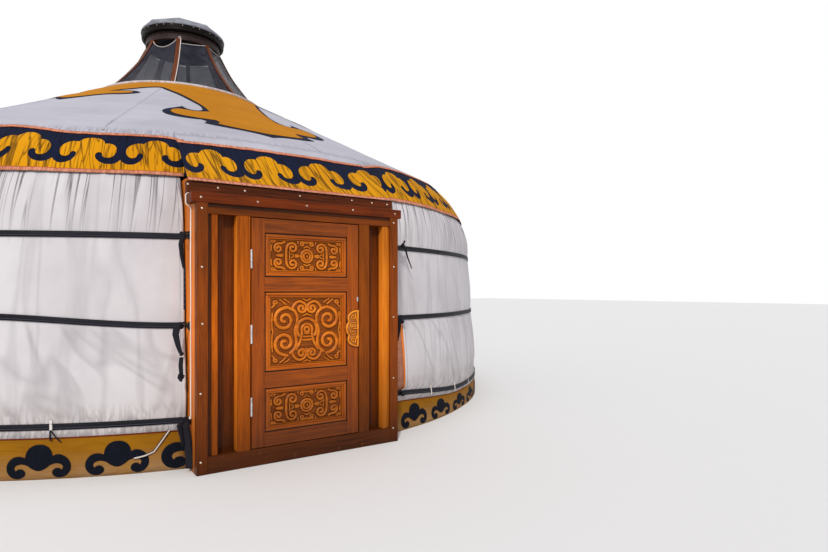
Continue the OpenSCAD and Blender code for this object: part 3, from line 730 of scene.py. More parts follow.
band_run = (1060, 22.2, lambda u, up, lift: band_at(round_wall(band_edge, u), up, lift))
valance = strip("valance_cloth", band_run, 0.0, band_length, 0.0, navy, 10, 0.003,
                ["eave_band_right", "eave_band_left"])
tapes = bound("valance", band_run, (-0.003, 0.031, 0.033, 0.035),
              [band_length + up for up in (-0.038, -0.035, -0.034, 0.004)], 0.004)
cloud_wide = 0.475
cloud_high = 0.437
cloud_shape = (
    (0, 0, 0), (1, 0, 0), (1, 0.262, 0), (0.965, 0.205, 1), (0.905, 0.16, 1), (0.83, 0.148, 1),
    (0.745, 0.172, 1), (0.672, 0.235, 1), (0.628, 0.32, 1), (0.618, 0.405, 1), (0.64, 0.462, 1),
    (0.68, 0.474, 1), (0.714, 0.44, 1), (0.722, 0.385, 1), (0.76, 0.332, 1), (0.82, 0.328, 1),
    (0.878, 0.368, 1), (0.912, 0.45, 1), (0.922, 0.555, 1), (0.9, 0.66, 1), (0.85, 0.735, 1),
    (0.785, 0.765, 1), (0.718, 0.755, 0), (0.7, 0.83, 1), (0.655, 0.895, 1), (0.59, 0.935, 1),
    (0.52, 0.945, 1), (0.44, 0.925, 1), (0.372, 0.875, 1), (0.318, 0.79, 0), (0.255, 0.8, 1),
    (0.185, 0.78, 1), (0.125, 0.72, 1), (0.08, 0.63, 1), (0.068, 0.53, 1), (0.082, 0.43, 1),
    (0.122, 0.355, 1), (0.175, 0.33, 1), (0.222, 0.355, 1), (0.24, 0.41, 1), (0.265, 0.47, 1),
    (0.312, 0.462, 1), (0.335, 0.395, 1), (0.318, 0.3, 1), (0.265, 0.205, 1), (0.19, 0.152, 1),
    (0.105, 0.15, 1), (0.04, 0.2, 1), (0, 0.262, 0))
stem_first = 16.24
stem_count = 47
stem_pitch = (347.64 - stem_first) / stem_count
cloud = cut_out("cloud", cloud_shape, cloud_wide, cloud_high)


def clouds_on_band(name, starts, kept=None):
    """Yellow clouds sewn on the valance"""
    def place(start, x, y):
        return band_at(start + x / cloud_wide * stem_pitch, 0.034 + y, 0.0035)

    made = sewn_on(cloud, starts, place, 0.007, apart=0.07, kept=kept)
    return piece(name, made, [cloud_yellow, outline_blue])


clouds = [clouds_on_band("valance_clouds", [stem_first + stem_pitch * k for k in range(stem_count)]),
          clouds_on_band("valance_cloud_cut", [stem_first - stem_pitch], (0.233, 0.49))]

# Valance over the door: the same band, pulled out over the header board like the flap of a tent.
# White canvas shows above it, and a fold closes each side down to the eave.
flap_foot = (4.139, 2.181)
flap_head = (3.612, 2.674)
flap_length = hypot(flap_foot[0] - flap_head[0], flap_head[1] - flap_foot[1])
flap_half = 0.9
flap_band = 0.605
flap_out = Vector((0.0, -0.683, 0.73))


def flap_at(x, up, lift=0.0):
    """Point on the flap by its place along the door and its distance above the lower edge"""
    w = up / flap_length
    side = x / flap_half
    point = ahead(x, *flap_foot).lerp(at(flap_head[0], side * sight(0.862, flap_head[0]), flap_head[1]), w)
    ripple = 0.004 * rough_at(x * 12, up * 2.0, 3.0) + 0.008 * rough_at(x * 2.2 + up, up * 2.5, 6.0)
    sag = -0.012 * sin(pi * min(max(w, 0), 1)) * (1 - side * side)
    return point + flap_out * ((ripple + sag) * between(0.0, 0.04, w) + 0.0015 + lift)


flap_wide = 1.72
flap_run = (90, flap_wide, lambda u, up, lift: flap_at((2 * u - 1) * flap_half, up, lift))
flap_made = laid_cloth(90, 16, lambda u, v: flap_at((2 * u - 1) * flap_half, flap_length * v), flap_wide,
                       flap_length)
for face in flap_made.faces:
    face.material_index = int(map_middle(flap_made, face).y > flap_band)
flap = piece("flap_cloth", flap_made, [navy, roof_white], depth=0.003,
             stands_for=["eave_band_over_door"])
flap_parts = bound("flap", flap_run, (-0.002, 0.034, 0.036, 0.038),
                   [flap_band + up for up in (-0.037, -0.034, -0.033, 0.004)], 0.003)
for start, wide in ((-0.9, 0.462), (-0.438, 0.49), (0.052, 0.505), (0.557, 0.545)):
    flap_cloud = cut_out("flap_cloud", cloud_shape, wide, (flap_band - 0.072) * 0.92)
    kept = (max(-flap_half - start, -0.02), min(flap_half - start, wide + 0.02))
    made = sewn_on(flap_cloud, [start], lambda s, x, y: flap_at(s + x, 0.037 + y, 0.0025), 0.007, apart=1.3,
                   kept=kept)
    name = f"flap_cloud_{len(flap_parts) - 3}"
    flap_parts.append(piece(name, made, [cloud_yellow, outline_blue]))
for side, title in ((-1, "left"), (1, "right")):
    def fold_place(u, v):
        outer = flap_at(side * flap_half, 0.97 * flap_band * v)
        spot = outer.lerp(band_at(side * band_edge, 0.97 * band_length * v), u)
        spot.x += side * -0.035 * sin(pi * u) * (1 - v)
        return spot

    made = laid_cloth(6, 12, fold_place, 0.3, band_length)
    if side < 0:
        bmesh.ops.reverse_faces(made, faces=made.faces)
    flap_parts.append(piece("flap_fold_" + title, made, [navy], depth=0.003))

# Crown ribs: eight curved bars of reddish wood, deep at the foot, bent in from the lower to the upper ring.
# The two rings are bent from the same wood, and everything up here has greyed in the weather.
wood_grain, given, result = new_group(
    "wood_grain", {"Vector": "Vector", "Light": "Color", "Dark": "Color", "Wear": "Float"},
    {"Color": "Color", "Height": "Float", "Rough": "Float"})
figure = patches(scaled(given["Vector"], (2.2, 46.0, 46.0)), 1.0, 4.0, 0.6, 0.8)
pores = patches(scaled(given["Vector"], (9.0, 420.0, 420.0)), 1.0, 2.0)
darker = calc("MULTIPLY", ramp(figure, 0.34, 0.66), 0.55)
darker = calc("MULTIPLY_ADD", ramp(pores, 0.35, 0.7), 0.22, darker)
cloudy = ramp(patches(given["Vector"], 1.6, 3.0), 0.3, 0.7)
darker = calc("MULTIPLY_ADD", cloudy, 0.35, darker, use_clamp=True)
scuffed = calc("MULTIPLY", ramp(patches(given["Vector"], 14.0, 6.0, 0.75), 0.62, 0.74), given["Wear"])
link(result, Color=mix(scuffed, mix(darker, given["Light"], given["Dark"]), srgb(190, 132, 84)),
     Height=calc("MULTIPLY_ADD", pores, 0.0003, calc("MULTIPLY", figure, 0.0004)),
     Rough=calc("MULTIPLY_ADD", scuffed, 0.3, calc("MULTIPLY_ADD", darker, 0.18, 0.36)))


def wood(name, light, dark, wear=0.2, coat=0.05, own_grain=True):
    """Varnished wood, darker towards the ground and above head height; a CAD piece's grain is its place"""
    made, shader = material(name, 0.45, Specular_IOR_Level=0.1, Coat_Weight=coat, Coat_Roughness=0.3)
    spot = object_spot(shader)
    if own_grain:
        run = add(made.node_tree, "Attribute", attribute_name="grain").outputs["Vector"]
    else:
        run = scaled(spot, (0.5, 0.5, 0.5))
    look = use(wood_grain, Vector=run, Light=srgb(*light), Dark=srgb(*dark), Wear=wear)
    height = axis(spot, 2)
    # Darker towards the ground and above 1.25 m, a little lighter in between.
    tint = calc("MINIMUM", ramp(height, 0.0, 0.95, 0.28, 1.14), ramp(height, 1.25, 2.0, 1.14, 0.7))
    link(shader, Base_Color=scaled(look["Color"], tint), Roughness=look["Rough"],
         Normal=bump(look["Height"], 0.9))
    return made


def plank(made, x, q, z, run="z", ease=0.0025, place=None, cuts=0, finish=0):
    """Adds a bevelled board between two x, two q in front of the axis and two heights, its grain along run"""
    x, z = sorted(x), sorted(z)
    board = bmesh.new()
    grain = board.verts.layers.float_vector.new("grain")
    for vert in bmesh.ops.create_cube(board, size=1.0)["verts"]:
        vert.co = (x[vert.co.x > 0], -q[vert.co.y < 0], z[vert.co.z > 0])
    bmesh.ops.bevel(board, geom=board.edges[:], offset=ease, segments=2, profile=0.5, affect="EDGES")
    for k in range(cuts):
        split(board, (0, 0, z[0] + (z[1] - z[0]) * (k + 1) / (cuts + 1)), (0, 0, 1))
    shift = (x[0] * 3.7 + z[0] * 5.3 + q[0] * 9.1) % 7.0
    for vert in board.verts:
        side, deep, high = vert.co
        vert[grain] = (high + shift, side + shift, deep) if run == "z" else (side + shift, high + shift, deep)
        vert.co = place(side, -deep, high) if place else (side, axis_y + deep, high)
    for face in board.faces:
        face.material_index = finish
    made.from_mesh(as_mesh("board", board))
    return made


def refinish(finish, *names):
    """Gives CAD pieces that stay in the scene their material"""
    for name in names:
        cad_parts[name].material_slots[0].material = finish


rib_line = ((3.93, 1.098), (3.96, 1.055), (4.02, 0.993), (4.13, 0.893), (4.28, 0.77), (4.41, 0.674),
            (4.55, 0.592), (4.7, 0.515), (4.745, 0.492), (4.8, 0.468))
rib_angles = [-20 + 45 * k for k in range(8)]
rib_wood = wood("rib_wood", (146, 80, 42), (80, 38, 20), 0.4, 0.0)
ring_wood = wood("ring_wood", (84, 68, 66), (42, 30, 30), 0.35, 0.0, own_grain=False)


def rib_at(azimuth, t, side=0.0, depth=0.0):
    """Point on a rib's outer line, t from foot to head, side metres across it and depth metres inwards"""
    turn = radians(azimuth)
    height = 3.945 + 0.8 * t
    spot = at(along(rib_line, height) - 0.842 * depth, azimuth, height - 0.539 * depth)
    return spot + Vector((cos(turn), sin(turn), 0.0)) * side


ribs_made = bmesh.new()
for angle in rib_angles:
    plank(ribs_made, (-0.026, 0.026), (-1.0, 0.0), (0.0, 1.0), ease=0.004, cuts=14,
          place=lambda side, q, t: rib_at(angle, t, side, -q * (0.05 + 0.07 * max(1 - t, 0) ** 1.5)))
crown_ribs = piece("crown_rib_bars", ribs_made, [rib_wood], smooth=False,
                   stands_for=["crown_ribs"])
refinish(ring_wood, "crown_upper_ring", "crown_lower_ring")

# Crown panes: clear grey sheet stretched between the ribs, with a white hem at its top edge.
# The pane left of the front rib has come loose and hangs in a bow, and a white cord runs down that rib.
clear_sheet, shader = material("clear_sheet", 0.35, Specular_IOR_Level=0.15)
smears = patches(object_spot(shader), 6.0, 5.0, distortion=1.5)
link(shader, Alpha=ramp(smears, 0.3, 0.7, 0.48, 0.62), Normal=bump(smears, 0.12, 0.012),
     Base_Color=mix(ramp(smears, 0.4, 0.75), srgb(36, 38, 50), srgb(62, 64, 76)))
hem_white = cloth("hem_white", (226, 220, 214), (200, 190, 182))


def tube(made, points, radius, around=8, finish=0):
    """Adds a round cord through points, with closed ends"""
    line = bpy.data.curves.new("line", "CURVE")
    line.dimensions = "3D"
    line.bevel_depth = radius
    line.bevel_resolution = around // 4
    line.use_fill_caps = True
    line.resolution_u = 4
    spline = line.splines.new("NURBS")
    spline.points.add(len(points) - 1)
    for point, spot in zip(spline.points, points):
        point.co = (*spot, 1.0)
    spline.use_endpoint_u = True
    spline.order_u = min(4, len(points))
    old = len(made.faces)
    made.from_mesh(drawn_mesh(line))
    made.faces.ensure_lookup_table()
    for face in made.faces[old:]:
        face.material_index = finish
    return made


panes = bmesh.new()
hems = bmesh.new()
for angle in rib_angles:
    droop = 0.135 if angle == 295 else 0.004
    slip = 0.075 if angle == -20 else 0.015

    def pane_place(u, v):
        bow = sin(pi * u)
        t = v * (0.982 - slip * (1 - u) - droop * max(bow, 0.0) ** 0.8)
        slack = 0.014 * (0.4 + 0.6 * sin(pi * v)) + 0.005 * rough_at(u * 3 + angle, v * 5, 1.0)
        outward = at(1.0, angle + 22.5, 0.0) - at(0.0, 0.0, 0.0)
        spot = rib_at(angle, t, 0.0262, 0.009).lerp(rib_at(angle + 45, t, -0.0262, 0.009), u)
        return spot - outward * bow * slack

    laid_cloth(16, 18, pane_place, 0.7, 0.9, panes)
    tube(hems, [pane_place(k / 12, 1.0) for k in range(13)], 0.0042)
pane_sheets = piece("crown_panes", panes, [clear_sheet], depth=0.002,
                    stands_for=["crown_glazing"])
tube(hems, [rib_at(-20, 0.02 + 0.97 * k / 12, 0.031, -0.002) for k in range(13)], 0.005)
tube(hems, [rib_at(-20, t, side, depth) for t, side, depth in (
    (0.99, 0.031, -0.004), (1.02, 0.024, -0.01), (1.03, 0.008, -0.008), (1.0, 0.002, -0.006),
    (0.98, 0.012, -0.006))], 0.004)
pane_hems = piece("pane_hems", hems, [hem_white])

# Cap rim: a dark turned wooden ring with a ledge round its middle, and a row of round nails near its top.
rim_wood = wood("rim_wood", (24, 15, 13), (10, 6, 5), 0.05, 0.0, own_grain=False)
rim_profile = ((0.496, 4.922), (0.496, 4.833), (0.516, 4.829), (0.531, 4.832), (0.54, 4.842), (0.543, 4.855),
               (0.542, 4.868), (0.538, 4.874), (0.544, 4.877), (0.544, 4.881), (0.537, 4.884), (0.54, 4.896),
               (0.54, 4.914), (0.535, 4.922), (0.496, 4.922))


def turned(profile, columns, corner=0.0):
    """A shape turned from a profile of (radius, height); corner pulls it towards eight sides"""
    def place(u, v):
        r, z = profile[round(v * (len(profile) - 1))]
        off = (360 * u + 20) % 45 - 22.5
        sided = cos(radians(22.5)) / cos(radians(off)) if corner else 1.0
        return at(r * (1 + (sided - 1) * corner * between(4.94, 5.015, z)), 360 * u, z)

    made = welded(laid_cloth(columns, len(profile) - 1, place, 3.4, 0.6), 0.0002)
    bmesh.ops.recalc_face_normals(made, faces=made.faces)
    return made


def toned(shader, clean, worn, size, amount):
    """Two colours in patches over an object"""
    return use(tone, Vector=object_spot(shader), Clean=srgb(*clean), Worn=srgb(*worn), Size=size,
               Amount=amount)[0]


def mottled(name, roughness, *tones, **constants):
    """A plain material in two colours: the material and its shader"""
    made, shader = material(name, roughness, **constants)
    link(shader, Base_Color=toned(shader, *tones))
    return made, shader


def nail(made, spot, outward, size=0.006, flat=0.55):
    """Adds a round nail or screw head at a point, facing outward"""
    turn = Vector((0, 0, 1)).rotation_difference(outward).to_matrix().to_4x4()
    bmesh.ops.create_uvsphere(made, u_segments=12, v_segments=6, radius=size,
                              matrix=Matrix.Translation(spot) @ turn @ Matrix.Diagonal((1, 1, flat, 1)))


piece("cap_rim_turned", turned(rim_profile, 128), [rim_wood], stands_for=["cap_rim"])
nail_bright = mottled("nail_bright", 0.35, (226, 214, 196), (150, 132, 112), 60.0, 1.0, Metallic=0.9)[0]
nails = bmesh.new()
for k in range(28):
    angle = -14 + 360 / 28 * k + 2.5 * sin(k * 2.3)
    nail(nails, at(0.5405, angle, 4.904 + 0.004 * sin(k * 1.7)), at(1, angle, 0) - at(0, 0, 0), 0.0065)
piece("cap_nails", nails, [nail_bright])

# Cap cover: pale hide stretched wet over a shallow eight-sided frame and nailed round the rim.
# It is sewn along the eight corners, ties into a small knob at the top, and is mottled with age.
hide, shader = material("pale_hide", 0.62, Specular_IOR_Level=0.3)
spot = object_spot(shader)
specks = ramp(patches(spot, 55.0, 5.0, 0.8), 0.6, 0.72, 0.0, 0.55)
aged = toned(shader, (138, 141, 151), (92, 93, 103), 7.0, 0.9)
link(shader, Base_Color=mix(specks, aged, srgb(96, 84, 80)),
     Normal=bump(patches(spot, 18.0, 4.0, distortion=1.2), 0.7, 0.012))
cover_line = ((0.0, 5.077), (0.1, 5.074), (0.192, 5.068), (0.32, 5.055), (0.405, 5.043), (0.458, 5.032),
              (0.484, 5.019), (0.51, 4.997), (0.532, 4.97), (0.543, 4.948), (0.548, 4.932), (0.5485, 4.92),
              (0.543, 4.917))
cap_cover = piece("cap_cover_hide", turned(cover_line, 160, 1.0), [hide], depth=0.003,
                  stands_for=["cap_cover"])
cap_cover.data.flip_normals()
cap_seams = bmesh.new()
for angle in rib_angles:
    tube(cap_seams, [at(r + 0.0015, angle, z + 0.001) for r, z in cover_line[:-1]], 0.004)
bmesh.ops.create_uvsphere(cap_seams, u_segments=16, v_segments=8, radius=0.022,
                          matrix=Matrix.Translation(at(0, 0, 5.078)) @ Matrix.Diagonal((1, 1, 0.6, 1)))
piece("cap_seams", cap_seams, [hide])

# Girth straps: three flat belts of black webbing, folded double, drawn round the wall from one side of the
# door to the other. The lowest runs through white cloth loops sewn on the canvas.
strap_black = cloth("strap_black", (20, 20, 26), (34, 34, 42), threads=3200.0, roughness=0.6,
                    folds=((9.0, 60.0, 0.0, 9.0, 0.0005, 0.0, -1, 0),))
strap_highlight = cloth("strap_highlight", (58, 58, 68), (44, 44, 54), threads=3200.0, roughness=0.55)
low_strap, middle_strap = strap_zs[:2]
strap_wide = 0.046


def strap_at(azimuth, middle, up, lift):
    """Point on a strap; the middle strap rides up on the left of the door"""
    left = -((azimuth + 180) % 360 - 180)
    height = middle + 0.004 * rough_at(azimuth * 0.05, middle * 3.0, 5.0) + up
    if middle == middle_strap:
        height += 0.085 * between(13.0, 34.0, left) * (1 - between(50.0, 90.0, left))
    elif middle == low_strap:
        height -= middle * hang_low(azimuth)
    return at(along(wall_line, height) + 0.0075 + lift, azimuth, height)


strap_edge = sight(0.905, 4.1)
for name, middle in zip(("lower", "middle", "upper"), strap_zs):
    def belt_place(u, v):
        return strap_at(round_wall(strap_edge, u), middle, strap_wide * (v - 0.5), 0.0)

    def fold_place(u, v):
        return strap_at(round_wall(strap_edge, u), middle, -0.013 + 0.006 * v, 0.0024)

    belt = laid_cloth(900, 2, belt_place, 24.0, strap_wide)
    piece("belt_" + name, belt, [strap_black], depth=0.004, side=0.0,
          stands_for=["girth_strap_" + name])
    # A lighter strip below each belt's middle is a painted highlight along the fold of the doubled webbing.
    fold = laid_cloth(900, 1, fold_place, 24.0, 0.006)
    piece("belt_fold_highlight_" + name, fold, [strap_highlight], depth=0.001)
loops = bmesh.new()
for angle in ([22.6, 30.5, 38.1, 46.4] + [54.3 + 7.9 * k for k in range(16)] + [-25.1]
              + [-36 - 11.8 * k for k in range(12)]):
    laid_cloth(2, 8, lambda u, v: strap_at(angle + 0.26 * (u - 0.5), low_strap, 0.1 * (v - 0.5),
                                           0.004 * sin(pi * v) - 0.002), 0.03, 0.1, loops)
ties = bmesh.new()
for drop, lean in ((0.085, 0.95), (0.075, 0.05)):
    laid_cloth(1, 8, lambda u, v: strap_at(-25.2 + 0.17 * u + lean * v, low_strap, -0.02 - drop * v,
                                           0.004 + 0.004 * sin(pi * v)), 0.012, drop, ties)
piece("belt_loops", loops, [hem_white], depth=0.002, side=0.0)
piece("loop_ties", ties, [strap_black], depth=0.002, side=0.0)

# Strap rings and tails: each belt ends in an iron ring at the door frame, and its loose end is tied there.
# The left tails hang long, with a twisted cord below the upper one and a knot in the middle one.
refinish(mottled("ring_iron", 0.5, (34, 34, 38), (70, 48, 38), 45.0, 0.7, Metallic=0.7)[0], "strap_rings")
tails = bmesh.new()
for turn, foot, head, spine in (
        (30, 0.046, 0.022, ((-0.885, 4.085, 1.8), (-0.925, 4.112, 1.785), (-0.948, 4.122, 1.7),
                            (-0.938, 4.118, 1.6), (-0.922, 4.112, 1.52))),
        (25, 0.03, 0.01, ((1.09, 3.985, 1.79), (1.137, 3.976, 1.783), (1.165, 3.97, 1.735),
                            (1.195, 3.96, 1.67), (1.25, 3.945, 1.57))),
        (40, 0.062, 0.03, ((-0.925, 4.1, 1.12), (-0.972, 4.118, 1.1), (-0.985, 4.124, 1.03),
                            (-0.968, 4.126, 0.95), (-0.95, 4.124, 0.89))),
        (70, 0.03, 0.035, ((-0.944, 4.126, 0.86), (-0.95, 4.128, 0.8), (-0.946, 4.128, 0.74),
                            (-0.95, 4.128, 0.68))),
        (30, 0.064, 0.022, ((1.066, 3.985, 1.1), (1.085, 3.978, 1.07), (1.08, 3.974, 0.98),
                            (1.06, 3.976, 0.865))),
        (30, 0.05, 0.06, ((-0.89, 4.12, 0.4), (-0.92, 4.145, 0.36), (-0.905, 4.15, 0.25),
                            (-0.895, 4.152, 0.12), (-0.89, 4.152, 0.03))),
        (-30, 0.046, 0.03, ((-0.93, 4.13, 0.4), (-0.965, 4.15, 0.36), (-0.945, 4.15, 0.27),
                             (-0.935, 4.15, 0.2)))):
    def tail_place(u, v):
        """Point of a flat strap that turns about its length towards its loose end"""
        k = min(int(v * (len(spine) - 1)), len(spine) - 2)
        x, q, z = Vector(spine[k]).lerp(Vector(spine[k + 1]), v * (len(spine) - 1) - k)
        wide = (foot + (head - foot) * v) * (u - 0.5)
        tilt = radians(turn * v)
        return ahead(x + wide * cos(tilt), q + wide * sin(tilt), z)

    laid_cloth(3, 24, tail_place, 0.04, 0.4, tails)
piece("strap_tails", tails, [strap_black], depth=0.003, side=0.0)
knots = bmesh.new()
for x, q, z, size in ((-0.936, 4.095, 1.775, 0.024), (1.127, 3.972, 1.785, 0.026),
                      (-0.94, 4.098, 1.088, 0.026), (1.126, 3.966, 1.05, 0.024), (-0.945, 4.126, 0.885, 0.02),
                      (-0.915, 4.12, 0.378, 0.036), (1.115, 3.99, 0.358, 0.03), (-0.95, 4.128, 0.715, 0.03)):
    tube(knots, [ahead(x + size * 0.8 * cos(k * 1.9) * sin(k * 0.7 + 1),
                       q + size * 0.45 * sin(k * 2.3), z + size * 0.75 * sin(k * 1.9))
                 for k in range(15)], size * 0.42)
tube(knots, [ahead(1.13, 3.975, 1.8), ahead(1.138, 3.975, 1.82), ahead(1.15, 3.972, 1.835)], 0.009)
piece("strap_knots", knots, [strap_black])
twisted = bmesh.new()
for strand in range(2):
    tube(twisted, [ahead(-0.919 + 0.004 * cos(1.3 * k + pi * strand),
                         4.112 + 0.004 * sin(1.3 * k + pi * strand), 1.53 - 0.0085 * k)
                   for k in range(38)], 0.0058, finish=strand)
piece("twisted_tail", twisted, [strap_black, cloth("blue_cord", (40, 66, 84), (30, 50, 70))])

# White cord: soft cotton, laid along the lower header, looped round its left end and tied to the lowest ring.
cord_white = cloth("cord_white", (232, 222, 212), (206, 190, 176))
header_z = 2.0848
cord_shape = [(x, q, header_z) for x, q in (
    (0.879, 4.1328), (0.72, 4.135), (0.6, 4.131), (0.45, 4.1345), (0.3, 4.1308), (0.15, 4.134), (0.0, 4.1352),
    (-0.15, 4.1312), (-0.3, 4.134), (-0.46, 4.1306), (-0.6, 4.1345), (-0.75, 4.132), (-0.85, 4.1328))]
cord_shape += [(x, 4.1328, z) for x, z in (
    (-0.896, 2.084), (-0.9145, 2.07), (-0.915, 2.035), (-0.914, 2.005), (-0.899, 1.992), (-0.881, 1.978),
    (-0.879, 1.94))]
cord_shape += [(-0.8798, 4.1318, 1.6), (-0.879, 4.1335, 1.35), (-0.8796, 4.1328, 1.1), (-0.879, 4.132, 0.85),
               (-0.8796, 4.1332, 0.6), (-0.879, 4.1328, 0.418)]
cord_line = []
last = len(cord_shape) - 1
for k in range(last):
    start, a, b, end = (Vector(cord_shape[max(0, min(last, k + step))]) for step in (-1, 0, 1, 2))
    bend_in = (b - start) * 0.5 * min(1.0, (b - a).length / max((a - start).length, 0.001))
    bend_out = (end - a) * 0.5 * min(1.0, (b - a).length / max((end - b).length, 0.001))
    for part in range(8):
        t = part / 8
        cord_line.append(a * (2 * t**3 - 3 * t**2 + 1) + bend_in * (t**3 - 2 * t**2 + t)
                         + b * (3 * t**2 - 2 * t**3) + bend_out * (t**3 - t**2))
cord_line = [ahead(*spot) for spot in cord_line + [cord_shape[-1]]]
header_cord = piece("header_cord", tube(bmesh.new(), cord_line, 0.0055), [cord_white],
                    stands_for=["frame_cord"])
knot_line = [ahead(-0.884 + 0.01 * cos(k * 1.9), 4.136 - 0.009 * sin(k * 2.3),
                   0.404 + 0.013 * sin(k * 1.9)) for k in range(12)]
cord_knot = piece("cord_knot", tube(bmesh.new(), knot_line, 0.0052), [cord_white])

# Canvas edges: the wall canvas ends beside the door frame in a doubled hem on each side, with lacing eyelets.
edge_made = bmesh.new()
edge_high = 1.95
for side in (1, -1):
    for begin, wide, lift in ((-0.04, 0.42, 0.004), (0.36, 0.05, 0.0062)):
        def edge_place(u, v):
            height = canvas_hem + edge_high * v
            return wall_at(side * (edge_at(height, side) + begin + wide * u), height, lift)

        laid_cloth(3, 34, edge_place, 0.03, edge_high, edge_made)
bmesh.ops.recalc_face_normals(edge_made, faces=edge_made.faces)
piece("canvas_edges", edge_made, [white_canvas], depth=0.002, side=0.0)

# Door frame: posts, headers and rails of red-brown varnished wood, screwed together round the doorway.
# Bright orange boards line its sides, dark boards fill the narrow side lights, and the threshold is scuffed.
# The groove beside the left post and the strip under the header are painted dark as shade; the right stiles
# and two sun-facing strips are painted lighter as sunlight.
post_wood = wood("post_wood", (150, 72, 14), (90, 38, 4), 0.12)
header_wood = wood("header_wood", (146, 60, 10), (78, 29, 4), 0.15)
upper_wood = wood("upper_header_wood", (134, 60, 16), (66, 28, 8), 0.15)
rail_wood = wood("rail_wood", (204, 102, 8), (126, 56, 2), 0.12)
sunlit_rail_wood = wood("sunlit_rail_wood", (226, 132, 30), (168, 84, 10), 0.12)
brown_wood = wood("brown_wood", (150, 74, 6), (90, 38, 2), 0.12)
recess_wood = wood("recess_wood", (132, 62, 8), (64, 27, 3), 0.08)
painted_sunlit_wood = wood("painted_sunlit_wood", (255, 158, 52), (238, 126, 28), 0.12)
groove_painted_shade = wood("groove_painted_shade", (90, 44, 14), (48, 22, 8), 0.0)
side_wood = wood("side_wood", (255, 148, 54), (204, 102, 28), 0.25)
sill_wood = wood("sill_wood", (140, 70, 22), (84, 38, 10), 0.85)
flank_wood = wood("flank_wood", (216, 152, 122), (184, 118, 88), 0.3, own_grain=False)
sides = ((-1, "left"), (1, "right"))
post_x = 0.790
frame_q = (4.167, 4.277)
stop_q = (4.167, 4.226)
bead_q = (4.187, 4.199)
bead = 0.006
opening_z = (0.130, 1.924)


def boards(name, made, finishes, replaced, body="yurt"):
    """A piece of planks that takes the place of a CAD piece"""
    return piece(name, made, finishes, body, smooth=False, stands_for=[replaced])


def board(name, half, q, z, finish, replaced, ease=0.004):
    """One plank across the door, half its length to each side, as a piece"""
    boards(name, plank(bmesh.new(), (-half, half), q, z, "x", ease), [finish], replaced)


screws = bmesh.new()
for q, spots in ((4.277, ((-0.835, 1.96), (-0.835, 1.528), (-0.831, 1.111), (-0.845, 0.599), (-0.845, 0.096),
                          (0.831, 1.959), (0.831, 1.565), (0.826, 1.117), (0.826, 0.571), (0.823, 0.123),
                          (-0.842, 2.04), (-0.416, 2.04), (-0.008, 2.043), (0.416, 2.043), (0.842, 2.041))),
                 (4.127, ((-0.898, 2.152), (-0.677, 2.144), (-0.468, 2.141), (-0.004, 2.144), (0.487, 2.15),
                          (0.691, 2.145), (0.851, 2.145)))):
    for x, z in spots:
        nail(screws, ahead(x, q + 0.0005, z), Vector((0, -1, 0)), 0.0085, 0.35)
board("threshold_board", post_x, frame_q, (0.0, 0.13), sill_wood, "door_threshold")
for side, title in sides:
    made = plank(bmesh.new(), (0.796 * side, 0.873 * side), (4.217, 4.277), (0.0, 2.003), ease=0.003)
    plank(made, (post_x * side, 0.796 * side), (4.217, 4.2745), (0.0, 2.003), ease=0.002)
    boards("post_" + title, made, [post_wood], "door_post_" + title)
made = bmesh.new()
for side in (-1, 1):
    for q, top in (((4.147, 4.2168), 2.003), ((4.079, 4.145), 2.003), ((4.019, 4.0768), 2.18),
                   ((3.959, 4.017), 2.18), ((3.874, 3.9568), 2.226), ((3.787, 3.872), 2.226)):
        plank(made, (0.841 * side, 0.873 * side), q, (0.0, top))
boards("side_boards", made, [side_wood], "frame_side_boards")
made = bmesh.new()
for first, last, lift, finish in ((12.0, 16.25, -0.004, 1), (16.18, 16.95, -0.0025, 0)):
    def flank_place(u, v):
        height = low_strap + (middle_strap - low_strap) * v
        return at(along(wall_line, height) + lift, first + (last - first) * u, height)

    laid_cloth(4, 10, flank_place, 0.2, 0.7, made, finish)
piece("flank_board", made, [side_wood, flank_wood], depth=0.004)
board("lintel_board", 0.841, (3.787, 3.957), (2.166, 2.226), post_wood, "frame_lintel", 0.003)
board("lower_header", 0.909, (4.127, 4.277), (2.003, 2.079), header_wood, "header_lower")
board("upper_header", 0.909, (4.077, 4.127), (2.0785, 2.18), upper_wood, "header_upper")
piece("frame_screws", screws, [nail_bright])
made = plank(bmesh.new(), (-post_x, post_x), frame_q, (1.924, 1.972), "x", 0.003)
# The recessed strip under the header is painted dark, painted shade under the header.
plank(made, (-post_x, post_x), (4.167, 4.262), (1.972, 2.003), "x", 0.002, finish=1)
boards("head_rail", made, [post_wood, groove_painted_shade], "frame_head_rail")
mullions = bmesh.new()
stops = plank(bmesh.new(), (-0.457, 0.457), stop_q, (1.906, 1.924), "x", 0.002)
stiles = bmesh.new()
recess = bmesh.new()
for side in (-1, 1):
    right = side > 0
    plank(mullions, (0.475 * side, 0.575 * side), frame_q, opening_z, ease=0.003, finish=int(right))
    plank(stops, (0.457 * side, 0.475 * side), stop_q, opening_z, ease=0.002)
    # The right stiles take a lighter copy of the rail wood, painted sunlight.
    plank(stiles, (0.72 * side, 0.763 * side), (4.179, 4.27), opening_z, ease=0.003, finish=2 * right)
    # The left stile's recessed outer strip is painted dark, painted shade in the groove beside the post.
    plank(stiles, (0.763 * side, post_x * side), (4.179, 4.258), (0.13, 1.972), ease=0.002, finish=1 + right)
    for first, last in ((0.575, 0.647), (0.648, 0.72)):
        plank(recess, (first * side, last * side), (4.167, 4.187), opening_z)
    for x in (0.581, 0.714):
        plank(recess, (side * (x - bead), side * (x + bead)), bead_q, opening_z, ease=0.002)
    for z in (0.136, 1.918):
        plank(recess, (0.587 * side, 0.708 * side), bead_q, (z - bead, z + bead), "x", 0.002)
